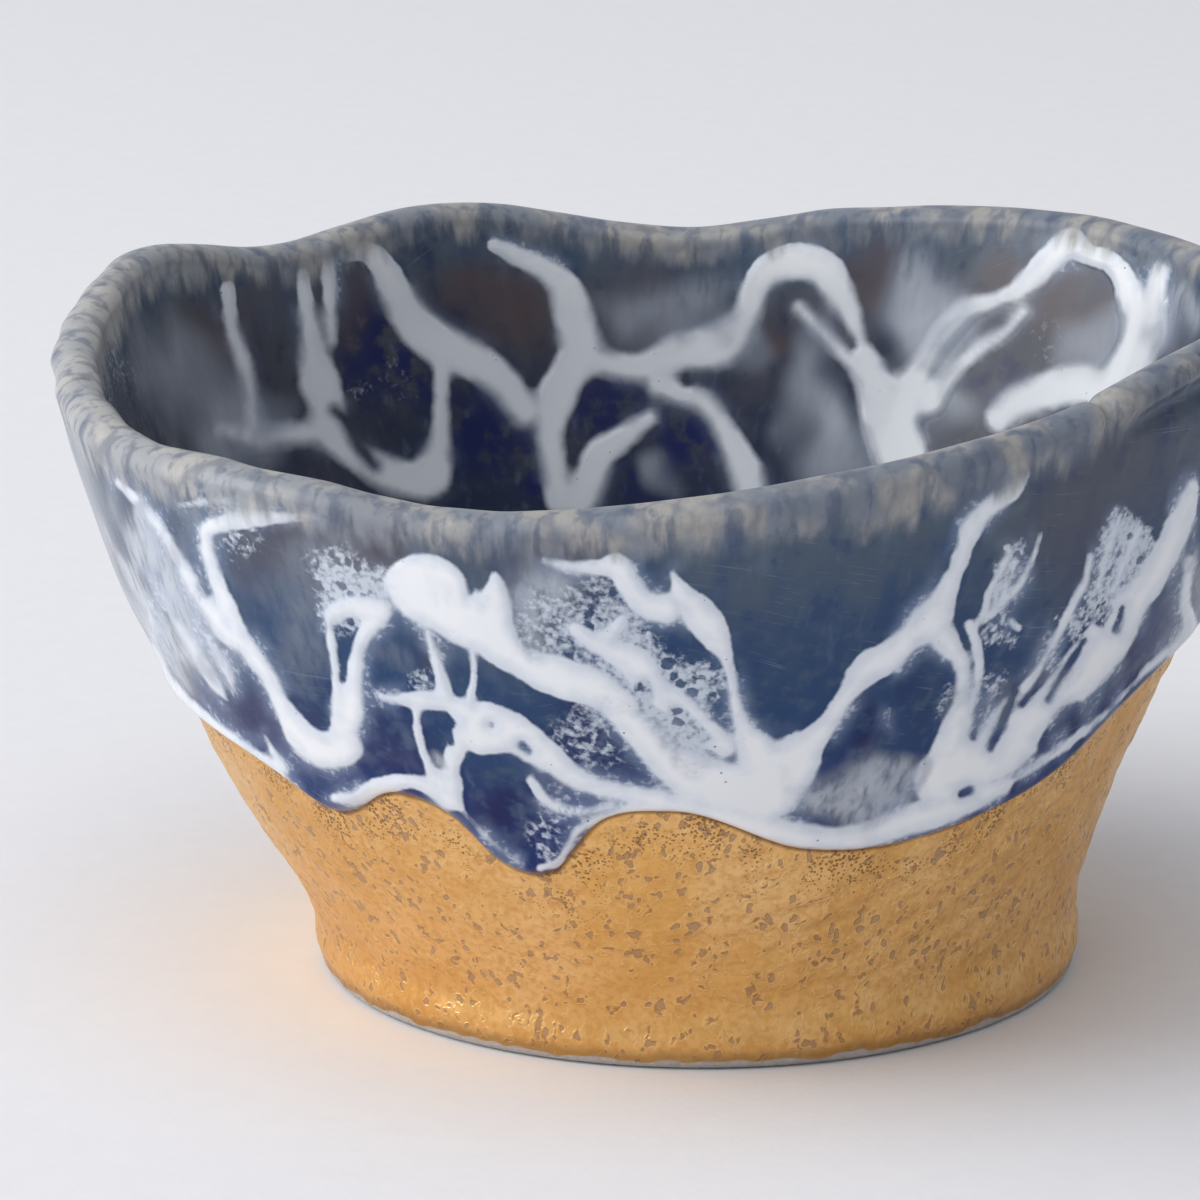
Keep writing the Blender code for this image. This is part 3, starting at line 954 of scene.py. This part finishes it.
class Finish:
    """A material under construction, with short names for its nodes."""

    def __init__(self, name):
        self.material = bpy.data.materials.new(name)
        self.material.use_nodes = True
        self.tree = self.material.node_tree
        self.shader = self.tree.nodes["Principled BSDF"]
        coordinates = self.tree.nodes.new("ShaderNodeTexCoord")
        self.mm = self.stretch(coordinates.outputs["Object"], (1000, 1000, 1000))

    def feed(self, socket, value):
        if isinstance(value, bpy.types.NodeSocket):
            self.tree.links.new(value, socket)
        else:
            socket.default_value = value

    def stretch(self, vector, scale, turn=(0, 0, 0)):
        node = self.tree.nodes.new("ShaderNodeMapping")
        self.feed(node.inputs["Vector"], vector)
        node.inputs["Scale"].default_value = scale
        node.inputs["Rotation"].default_value = turn
        return node.outputs[0]

    def math(self, operation, a, b=0.0, c=0.0):
        node = self.tree.nodes.new("ShaderNodeMath")
        node.operation = operation
        for socket, value in zip(node.inputs, (a, b, c)):
            self.feed(socket, value)
        return node.outputs[0]

    def times(self, a, b):
        return self.math("MULTIPLY", a, b)

    def step(self, value, low, high, start=0.0, end=1.0):
        """Rises smoothly from start to end as value goes from low to high."""
        node = self.tree.nodes.new("ShaderNodeMapRange")
        node.interpolation_type = "SMOOTHSTEP"
        for name, given in (("Value", value), ("From Min", low), ("From Max", high),
                            ("To Min", start), ("To Max", end)):
            self.feed(node.inputs[name], given)
        return node.outputs[0]

    def field(self, name, part="Fac"):
        node = self.tree.nodes.new("ShaderNodeAttribute")
        node.attribute_name = name
        return node.outputs[part]

    def noise(self, scale, vector=None, detail=3.0):
        node = self.tree.nodes.new("ShaderNodeTexNoise")
        self.feed(node.inputs["Vector"], self.mm if vector is None else vector)
        node.inputs["Scale"].default_value = scale
        node.inputs["Detail"].default_value = detail
        return node.outputs["Fac"]

    def cells(self, scale, vector=None):
        node = self.tree.nodes.new("ShaderNodeTexVoronoi")
        self.feed(node.inputs["Vector"], self.mm if vector is None else vector)
        node.inputs["Scale"].default_value = scale
        return node.outputs["Distance"]

    def mix(self, amount, a, b):
        node = self.tree.nodes.new("ShaderNodeMix")
        node.data_type = "RGBA"
        self.feed(node.inputs["Factor"], amount)
        colours = [socket for socket in node.inputs if socket.type == "RGBA"]
        self.feed(colours[0], a)
        self.feed(colours[1], b)
        return next(socket for socket in node.outputs if socket.type == "RGBA")

    def warp(self, vector, scale, amount):
        """The vector pushed about by noise."""
        node = self.tree.nodes.new("ShaderNodeTexNoise")
        self.feed(node.inputs["Vector"], vector)
        node.inputs["Scale"].default_value = scale
        node.inputs["Detail"].default_value = 1
        push = self.tree.nodes.new("ShaderNodeVectorMath")
        push.operation = "MULTIPLY_ADD"
        self.feed(push.inputs[0], node.outputs["Color"])
        push.inputs[1].default_value = (amount, amount, amount)
        self.feed(push.inputs[2], vector)
        return push.outputs[0]

    def bump(self, height, distance, strength):
        node = self.tree.nodes.new("ShaderNodeBump")
        self.feed(node.inputs["Height"], height)
        node.inputs["Distance"].default_value = distance
        node.inputs["Strength"].default_value = strength
        return node.outputs[0]

    def set(self, **sockets):
        for name, value in sockets.items():
            self.feed(self.shader.inputs[name.replace("_", " ")], value)


def glaze_finish(name):
    """Blue glaze with white foam, pale veils and a sandy band at the lip."""
    f = Finish(name)
    upright = f.stretch(f.mm, (1, 1, 0.16))
    inward = f.field("inward")
    colour = blue_ground(f, inward, upright)

    grain = f.step(f.noise(1.6, upright, detail=4), 0.25, 0.6, f.step(inward, 0, 1, 0.7, 1.0), 1.04)
    veil = f.times(f.field("veil"), grain)
    pale = f.mix(f.step(veil, 0.45, 1.15), THIN_VEIL, THICK_VEIL)
    colour = f.mix(f.step(veil, 0.1, 0.75, 0, 0.95), colour, pale)

    uneven = f.noise(0.9, detail=4)
    edge = f.math("MULTIPLY_ADD", f.math("SUBTRACT", uneven, 0.5), 0.36, f.field("foam"))
    patchy = f.step(f.field("patchy"), 0.42, 0.62)
    fringe = f.times(patchy, f.step(inward, 0, 1, 1, 0.35))
    haze = f.times(f.math("POWER", f.step(edge, -1.2, 0.15), 1.6), fringe)
    colour = f.mix(f.times(haze, 0.5), colour, HAZE)
    swell = f.noise(0.6, detail=3)
    lace = f.math("MAXIMUM", f.field("lace"), f.times(haze, 0.42))
    colour = lace_film(f, lace, swell, colour)

    core = f.math("MULTIPLY_ADD", swell, 1.2, edge)
    milk = f.mix(f.step(core, 0.5, 1.6), THIN_WHITE, THICK_WHITE)
    pores = f.times(f.step(f.cells(0.9), 0.09, 0.05), f.step(uneven, 0.5, 0.55))
    milk = f.mix(f.times(pores, 0.8), milk, PORE)
    # Greyer white deeper in the bowl: painted shade
    milk = f.mix(f.times(inward, 0.6), milk, PAINTED_SHADE_BOWL_WHITE)
    softness = f.step(inward, 0, 1, 0.14, 0.42)
    soft = f.math("MULTIPLY_ADD", f.math("ADD", patchy, veil), softness, softness)
    cover = f.step(edge, f.times(soft, -0.4), soft)
    thin = f.times(f.step(veil, 0.2, 0.9), f.step(f.field("thin"), 0.35, 0.6, 0.2, 0.75))
    cover = f.times(cover, f.math("SUBTRACT", 1.0, thin))
    colour = f.mix(cover, colour, milk)
    colour, sandy = sandy_band(f, f.field("band"), upright, colour)

    height = f.times(f.noise(0.9, detail=1), f.step(f.field("band"), -1.0, 1.0, 0.3, 0.9))
    height = f.math("ADD", height, f.step(f.field("foam"), -0.15, 0.6))
    f.set(Base_Color=colour, Normal=f.bump(height, 0.00007, 0.7), IOR=1.33)
    f.set(Roughness=f.step(sandy, 0, 1, 0.13, 0.3))
    return f.material


def lace_film(f, lace, swell, colour):
    """A white film with round openings, fading to a grainy spray where it is thin."""
    grain = f.math("SUBTRACT", f.noise(2.6, detail=5), 0.5)
    density = f.math("MULTIPLY_ADD", grain, 2.2, lace)
    film = f.times(f.step(density, 0.15, 1.05, 0, 0.9), f.step(lace, 0.06, 0.4))
    opening = f.math("MULTIPLY_ADD", grain, 0.5, f.cells(1.05))
    size = f.math("MULTIPLY_ADD", lace, -0.34, f.times(swell, 1.1))
    film = f.times(film, f.step(f.math("SUBTRACT", opening, size), -0.08, 0.1, 0.1, 1))
    return f.mix(film, colour, LACE)


def blue_ground(f, inward, upright):
    """Deep blue at the drips, lighter above and slate under the lip, with streaks and scratches."""
    # Each blue turns to its darker copy deeper in the bowl: painted shade
    deep, middle, slate, stain = (
        f.mix(inward, paint(*outer), paint(*inner))
        for outer, inner in zip(OUTSIDE_BLUES, PAINTED_SHADE_BOWL_BLUES)
    )
    cloud = f.field("cloud")
    level = f.math("MULTIPLY_ADD", f.math("SUBTRACT", cloud, 0.5), 0.5, f.field("rise"))
    blue = f.mix(f.step(level, 0.0, 0.4), deep, middle)
    blue = f.mix(f.step(level, 0.4, 0.95), blue, slate)
    streaks = f.noise(1.1, upright, detail=3)
    blue = f.mix(f.step(streaks, 0.55, 0.8, 0, 0.35), blue, STREAK)
    blue = f.mix(f.step(f.field("darker"), 0.5, 0.72, 0, 0.4), blue, middle)
    mottle = f.noise(0.75, detail=4)
    blue = f.mix(f.step(mottle, 0.5, 0.7, 0, f.step(inward, 0, 1, 0.4, 0.15)), blue, slate)
    blue = f.mix(f.step(mottle, 0.46, 0.3, 0, 0.4), blue, f.mix(0.5, deep, middle))
    blue = f.mix(f.times(f.field("mauve"), 0.85), blue, stain)
    navy = f.times(f.field("navy"), f.step(mottle, 0.65, 0.45))
    blue = f.mix(navy, blue, NAVY)
    scratch = f.noise(2.6, f.field("swirl", "Vector"), detail=3)
    strength = f.step(inward, 0, 1, 0.28, 0)
    scratches = f.times(f.step(scratch, 0.6, 0.76, 0, strength), f.step(cloud, 0.4, 0.6))
    return f.mix(scratches, blue, SCRATCH)


def sandy_band(f, band, upright, colour):
    """A grey and sandy band of small upright dapples at the lip, breaking up downwards."""
    stroke = f.noise(0.9, upright, detail=4)
    spread = f.times(f.math("SUBTRACT", stroke, 0.5), 3.2)
    sandy = f.step(f.math("ADD", band, spread), -0.9, 0.9, 0, 0.94)
    fine = f.noise(2.2, detail=3)
    pebble = f.cells(0.85, f.stretch(f.mm, (1, 1, 0.45)))
    dents = f.step(f.math("MULTIPLY_ADD", fine, 0.5, pebble), 0.7, 1.05)
    sand = f.mix(fine, DARK_SAND, PALE_SAND)
    sand = f.mix(f.step(f.field("patchy"), 0.38, 0.58, 0, 0.75), sand, BLUE_SAND)
    # Paler sand on the left of the lip, towards the window: painted light
    sand = f.mix(f.times(f.field("painted_window_light"), 0.5), sand, PAINTED_LIT_SAND)
    sand = f.mix(f.times(dents, 0.55), sand, DENT)
    sand = f.mix(f.step(stroke, 0.48, 0.36, 0, 0.5), sand, STROKE)
    return f.mix(sandy, colour, sand), sandy


def gold_finish():
    """Satin gold lustre with dark pin holes and larger bare patches, ragged at the foot, with painted
    shade under the glaze's edge and a painted highlight on the patches' raised edges.
    """
    f = Finish("gold lustre")
    below = f.field("below")
    gold = f.mix(f.step(f.field("cloud"), 0.3, 0.7), GOLD, BRIGHT_GOLD)
    fine = f.noise(2.2, detail=4)
    gold = f.mix(f.step(fine, 0.4, 0.7, 0, 0.7), gold, DULL_GOLD)

    crowd = f.step(below, 0.0, 5.0, 0.42, 0.04)
    pin = f.math("SUBTRACT", f.cells(4.0), crowd)
    pins = f.times(f.step(pin, 0.1, -0.02), f.step(f.field("patchy"), 0.56, 0.44))
    leaning = f.stretch(f.warp(f.mm, 1.3, 0.9), (1.0, 1.0, 0.62), (0.5, 0, 0.4))
    spot = f.math("MULTIPLY_ADD", fine, 0.4, f.cells(1.4, leaning))
    spot_size = f.step(f.field("thin"), 0.38, 0.6, 0.19, 0.48)
    island = f.math("MULTIPLY_ADD", f.noise(1.15, leaning, detail=2), -1.6, 1.08)
    inside = f.math("MINIMUM", f.math("SUBTRACT", spot, spot_size), island)
    patches = f.step(inside, 0.03, -0.03)
    outline = f.step(f.math("ABSOLUTE", inside), 0.06, 0.0)
    # The ridge round each patch: raised in the bump, and painted brighter gold as a highlight
    ridge_and_painted_highlight = f.step(f.math("ABSOLUTE", f.math("SUBTRACT", inside, 0.12)), 0.09, 0.0)
    colour = f.mix(f.times(ridge_and_painted_highlight, 0.3), gold, PAINTED_RIM_HIGHLIGHT)
    colour = f.mix(f.times(patches, 0.7), colour, BARE_PATCH)
    colour = f.mix(f.times(outline, 0.45), colour, GOLD_OUTLINE)
    colour = f.mix(f.times(pins, 0.75), colour, PIN_HOLE)
    # Painted shade: the gold darkens just under the glaze's lower edge
    colour = f.mix(f.step(below, 0.35, 0.05, 0, 0.75), colour, PAINTED_SHADE_UNDER_GLAZE)

    foot = f.field("ragged")
    colour = f.mix(f.step(foot, 1.6, 0.7, 0, 0.6), colour, BROWN_GOLD)
    bare = f.step(foot, 0.62, 0.5)
    colour = f.mix(bare, colour, f.mix(fine, DARK_FOOT, PALE_FOOT))

    rough = f.noise(0.9, detail=4)
    height = f.math("MULTIPLY_ADD", ridge_and_painted_highlight, 0.5, f.times(patches, -0.6))
    height = f.math("MULTIPLY_ADD", rough, 1.2, height)
    f.set(Base_Color=colour, Normal=f.bump(height, 0.00008, 0.6))
    metal = f.math("SUBTRACT", 1.0, bare)
    f.set(Metallic=f.times(metal, f.step(patches, 0, 1, 1.0, 0.6)))
    f.set(Roughness=f.step(rough, 0.3, 0.7, 0.36, 0.5))
    return f.material


def clay_finish():
    f = Finish("bare clay")
    grain = f.noise(3.5, detail=6)
    colour = f.mix(grain, DARK_CLAY, PALE_CLAY)
    grit = f.step(f.cells(2.2), 0.2, 0.1)
    colour = f.mix(f.times(grit, 0.5), colour, GRIT)
    colour = f.mix(f.step(f.noise(0.2, detail=3), 0.4, 0.7, 0, 0.5), colour, WARM_CLAY)
    relief = f.bump(grain, 0.00012, 0.6)
    f.set(Base_Color=colour, Normal=relief, Roughness=0.85)
    return f.material


def floor_finish():
    f = Finish("pale floor")
    colour = f.mix(f.noise(0.4, detail=1), DARK_FLOOR, PALE_FLOOR)
    f.set(Base_Color=colour, Roughness=0.7, Normal=f.bump(f.noise(1.5, detail=2), 0.00006, 0.3))
    return f.material


def place_piece(piece, finish):
    piece.data.materials.append(finish)
    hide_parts("sake_cup")
    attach(piece, "root")


def swirl_space(points, bearings, rise):
    """Space turned with height, so that stripes in it climb the wall on a slant."""
    turn = np.radians(bearings)[None, :] + SWIRL_SLANT * rise
    radius = np.linalg.norm(points[..., :2], axis=-1) / MM * SWIRL_ACROSS
    upward = points[..., 2] / MM * SWIRL_UPWARD
    return np.stack([radius * np.sin(turn), radius * np.cos(turn), upward], axis=-1)


def seen_share(points, normals, bearings, pixels, view):
    """1 where the front view shows the glaze, falling to 0 just beyond its edges."""
    seen = ramp(view.facing(points, normals), *SEEN_FACING)
    seen *= ramp(-pixels[..., 0], -VIEW_PIXELS - SEEN_PAST_EDGE_PIXELS, 5 - VIEW_PIXELS)
    around = np.abs((bearings + 180) % 360 - 180)
    crest = pixels[CREST_ROW]
    order = np.argsort(crest[:, 0])
    near = order[around[order] < NEAR_LIP_BEARING]
    lip_line = np.interp(pixels[..., 0], crest[near, 0], crest[near, 1])
    seen[INNER] *= ramp(lip_line + SEEN_PAST_EDGE_PIXELS - pixels[..., 1], 0, 15)[INNER]
    seen[INNER] *= ramp(around, *FAR_INSIDE_BEARINGS)[None]
    return seen


def scatter_glaze(glaze, bearings):
    """Runs and patches of tone for the sides that the front view doesn't show."""
    rng = np.random.default_rng(SEED)
    wall = glaze[:OUTER_ROWS]
    bowl = glaze[SPLIT_ROW:][::-1]
    out_runs = free_runs(
        wall, bearings, rng, spans=(55, 275), count=12, top=0.92, bottom=0.06, widths=1.0
    )
    bowl_runs = free_runs(
        bowl, bearings, rng, spans=(-100, 100), count=9, top=0.9, bottom=0.15, widths=1.1
    )
    bowl_runs += free_runs(
        bowl, bearings, rng, spans=(100, 260), count=8, top=0.5, bottom=0.1, widths=1.1
    )
    patches = {}
    for key, low, high, count in SCATTERED_TONES:
        patches[key] = free_patches(wall, bearings, rng, (60, 270), count, low, high)
        patches[key] += free_patches(bowl, bearings, rng, (-95, 95), count, low, high)
    return out_runs, bowl_runs, patches


def foam_fields(glaze, bearings, seen, pixels, pixel_mm, scatter):
    out_runs, bowl_runs, patches = scatter
    near_runs = OUTSIDE_RUNS + OUTSIDE_THREADS
    outside = runs_field(
        pixels[OUTER], near_runs, OUTSIDE_CUTS, REACH_PIXELS, OUTSIDE_FILLET_PIXELS
    )
    inside = runs_field(pixels[INNER], INSIDE_RUNS, (), REACH_PIXELS, INSIDE_FILLET_PIXELS)
    inside += INSIDE_SWELL
    inside = cut_field(inside, pixels[INNER], INSIDE_CUTS, REACH_PIXELS, CUT_FILLET_PIXELS)
    traced = np.concatenate([outside, inside]) * pixel_mm
    in_mm = glaze / MM
    free_out = runs_field(in_mm[OUTER], out_runs, (), REACH_MM, FREE_FILLET_MM)
    free_out = join(free_out, edge_field(glaze[OUTER], bearings), FREE_FILLET_MM)
    free_in = runs_field(in_mm[INNER], bowl_runs, (), REACH_MM, FREE_FILLET_MM)
    free = np.concatenate([free_out, free_in])
    front = traced - UNSEEN_DROP_MM * (1 - seen)
    fields = {"foam": join(front, free - UNSEEN_DROP_MM * seen, SIDES_FILLET_MM)}
    sway = np.stack([ripples(glaze, PATCH_SWELL, seed) for seed in (SEED, SEED + 1)], axis=-1)
    swayed = pixels + PATCH_SWAY_PIXELS * sway
    swayed_mm = in_mm + PATCH_SWAY_MM * sway[..., [0, 1, 0]]
    for key in OUTSIDE_TONES:
        near = patch_field(swayed[OUTER], OUTSIDE_TONES[key])
        far = patch_field(swayed[INNER], INSIDE_TONES[key])
        shown = np.concatenate([near, far])
        fields[key] = seen * shown + (1 - seen) * patch_field(swayed_mm, patches[key])
    return fields


def edge_field(points, bearings):
    """White along the lower edge of the glaze round the back, of uneven width."""
    away = np.abs((bearings + 180) % 360 - 180)
    strength = ramp(away, *BACK_EDGE_BEARINGS)
    turn = np.radians(bearings)
    uneven = BACK_EDGE_UNEVENNESS_MM * np.sin(7 * turn) * np.sin(3 * turn + 1)
    width = (BACK_EDGE_MM + uneven) * strength
    distance = (points[..., 2] - drip_height(bearings)) / MM / drip_steepness(bearings)
    return np.maximum(width * 1.6 - distance - 3 * (1 - strength), -REACH_MM)


def dress_glaze(bearings, shift, view, scatter):
    """The glaze's lattice with its relief, its normals and the fields that colour it."""
    glaze = glaze_lattice(bearings) + shift
    normals = lattice_normals(glaze)
    pixels, pixel_mm = view.pixels(glaze)
    seen = seen_share(glaze, normals, bearings, pixels, view)
    fields = foam_fields(glaze, bearings, seen, pixels, pixel_mm, scatter)
    below_crest = np.linalg.norm(glaze - glaze[CREST_ROW], axis=-1) / MM
    band_bearings, band_widths, painted_light_share = zip(*LIP_BAND)
    fields["band"] = round_curve(band_bearings, band_widths, bearings) - below_crest
    # How pale the band is at each bearing: painted light on the window side
    painted_window_light = round_curve(band_bearings, painted_light_share, bearings)
    fields["painted_window_light"] = np.broadcast_to(painted_window_light, below_crest.shape).copy()
    floor = FOOT_RECESS + FLOOR_THICKNESS
    rise = (glaze[..., 2] - floor) / (lip_height(bearings) - floor)
    edge = drip_height(bearings)
    rise[OUTER] = ((glaze[..., 2] - edge) / (lip_height(bearings) - edge))[OUTER]
    fields["rise"] = rise
    fields["swirl"] = swirl_space(glaze, bearings, rise)
    fields["inward"] = np.zeros(rise.shape)
    fields["inward"][INNER] = ramp(below_crest, *INWARD_MM)[INNER]
    fields["lace"] = fields["lace"] * (1 - 0.5 * fields["inward"])
    for seed, (key, scale) in enumerate(SLOW_TONES, SEED):
        fields[key] = slow_noise(glaze, scale, seed)
    fields["darker"] = slow_noise(glaze * UPRIGHT, DARKER_SWELLS, SEED)

    lift = FOAM_RELIEF * ramp(fields["foam"], -0.1, FOAM_ROUNDING_MM) * ramp(below_crest, 0.5, 2.0)
    flute_bearings, flute_strengths = zip(*FLUTED)
    strength = round_curve(flute_bearings, flute_strengths, bearings)
    flutes = ripples(glaze * FLUTES_UPRIGHT, FLUTE_SPACING, 3) * strength
    near_lip = np.exp(-(((below_crest - FLUTE_CENTRE_MM) / FLUTE_REACH_MM) ** 2))
    lift += FLUTE_RELIEF * flutes * near_lip
    lift += HAND_RELIEF * ripples(glaze, HAND_SWELL, 4)
    arc = np.radians(bearings - CREASE_BEARING) * lip_reach(bearings)
    crease = np.exp(-((arc / CREASE_WIDTH) ** 2)) * np.exp(-((below_crest * MM / CREASE_REACH) ** 4))
    lift -= CREASE_DEPTH * crease
    lift *= ramp(np.arange(len(glaze)), 2, 9)[:, None]
    glaze = glaze + normals * lift[..., None]
    return glaze, lattice_normals(glaze), fields


def add_glaze(shift, view, scatter):
    glaze, normals, fields = dress_glaze(column_bearings(FRONT_CROWDING), shift, view, scatter)
    rows = slice(0, SPLIT_ROW + 1)
    outside = {key: field[rows] for key, field in fields.items()}
    shell = closed_mesh("glaze_outside", glaze[rows], normals[rows], outside)
    place_piece(shell, glaze_finish("outside glaze"))

    glaze, normals, fields = dress_glaze(column_bearings(-FRONT_CROWDING), shift, view, scatter)
    rows = slice(SPLIT_ROW, None)
    inside = {key: field[rows] for key, field in fields.items()}
    height = FOOT_RECESS + FLOOR_THICKNESS - FLOOR_DISH
    pole = np.array([axis_shift(height), 0, height]) + shift
    lining = closed_mesh("glaze_inside", glaze[rows], normals[rows], inside, pole)
    place_piece(lining, glaze_finish("inside glaze"))


def add_base(bearings, base):
    normals = lattice_normals(base)
    sway = HAND_RELIEF * ripples(base, BASE_HAND_SWELL, 5)
    sway += GOLD_RELIEF * ripples(base, GOLD_SWELL, 6)
    sway *= ramp(base[..., 2], *GOLD_RELIEF_FROM)
    base = base + normals * sway[..., None]
    normals = lattice_normals(base)
    below = (drip_height(bearings) - base[..., 2]) / drip_steepness(bearings) / MM
    first = 2 * UNDER_ROWS + SLOPE_ROWS - 1
    ragged = base[..., 2] / MM + RAGGED_MM * (slow_noise(base, RAGGED_SWELLS, SEED) - 0.5)
    fields = {"below": below[first:], "ragged": ragged[first:]}
    for seed, (key, scale) in enumerate(SLOW_TONES, SEED):
        fields[key] = slow_noise(base[first:], scale, seed)
    band = closed_mesh("gold_base", base[first:], normals[first:], fields)
    place_piece(band, gold_finish())
    under = base[: first + 1][::-1, ::-1]
    pole = under[-1].mean(axis=0)
    foot = closed_mesh("foot_clay", under, normals[: first + 1][::-1, ::-1], {}, pole)
    place_piece(foot, clay_finish())


def build():
    bearings = column_bearings(FRONT_CROWDING)
    glaze = glaze_lattice(bearings)
    base = base_lattice(bearings)
    lows, highs = (np.array(corner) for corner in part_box("sake_cup"))
    everything = np.concatenate([glaze.reshape(-1, 3), base.reshape(-1, 3)])
    shift = (lows + highs - everything.min(axis=0) - everything.max(axis=0)) / 2
    shift[2] = 0
    camera = front_camera(Vector(shift))
    add_glaze(shift, View(camera), scatter_glaze(glaze + shift, bearings))
    add_base(bearings, base + shift)
    return camera


def set_camera(camera):
    place, forward, right, up = camera
    data = bpy.data.cameras.new("front view")
    data.sensor_width = VIEW_SENSOR_MM
    data.lens = VIEW_SENSOR_MM * VIEW_FOCAL_PIXELS / VIEW_PIXELS
    data.clip_start = 0.01
    data.clip_end = 20
    item = bpy.data.objects.new("front view", data)
    turn = Matrix((right, up, -forward)).transposed()
    item.matrix_world = Matrix.Translation(place) @ turn.to_4x4()
    bpy.context.scene.collection.objects.link(item)
    bpy.context.scene.camera = item


def soft_light(name, place, target, size, power, colour):
    data = bpy.data.lights.new(name, "AREA")
    data.size = size
    data.energy = power
    data.color = colour
    item = bpy.data.objects.new(name, data)
    item.location = place
    item.rotation_euler = (Vector(target) - Vector(place)).to_track_quat("-Z", "Y").to_euler()
    bpy.context.scene.collection.objects.link(item)


def set_room():
    """A pale room, darker on the right."""
    world = bpy.data.worlds.new("pale room")
    world.use_nodes = True
    tree = world.node_tree
    coordinates = tree.nodes.new("ShaderNodeTexCoord")
    parts = tree.nodes.new("ShaderNodeSeparateXYZ")
    level = tree.nodes.new("ShaderNodeMapRange")
    level.inputs["From Min"].default_value = -1
    level.inputs["To Min"].default_value = ROOM_LEFT
    level.inputs["To Max"].default_value = ROOM_RIGHT
    tree.links.new(coordinates.outputs["Generated"], parts.inputs[0])
    tree.links.new(parts.outputs["X"], level.inputs["Value"])
    tree.links.new(level.outputs["Result"], tree.nodes["Background"].inputs["Strength"])
    tree.nodes["Background"].inputs["Color"].default_value = (0.95, 0.965, 1.0, 1)
    bpy.context.scene.world = world


def set_studio():
    size = 3.0
    data = bpy.data.meshes.new("floor")
    data.from_pydata([(-size, -size, 0), (size, -size, 0), (size, size, 0), (-size, size, 0)], [],
                     [(0, 1, 2, 3)])
    floor = bpy.data.objects.new("floor", data)
    bpy.context.scene.collection.objects.link(floor)
    data.materials.append(floor_finish())
    middle = (0, 0, 0.02)
    soft_light(
        "window on the left", (-1.0, -0.12, 0.55), middle, size=0.9, power=8.8, colour=(1.0, 0.99, 0.97)
    )
    soft_light(
        "soft light above", (-0.1, -0.35, 1.1), middle, size=0.8, power=2.8, colour=(0.97, 0.98, 1.0)
    )
    set_room()
    bpy.context.scene.view_settings.view_transform = "Standard"


set_camera(build())
set_studio()
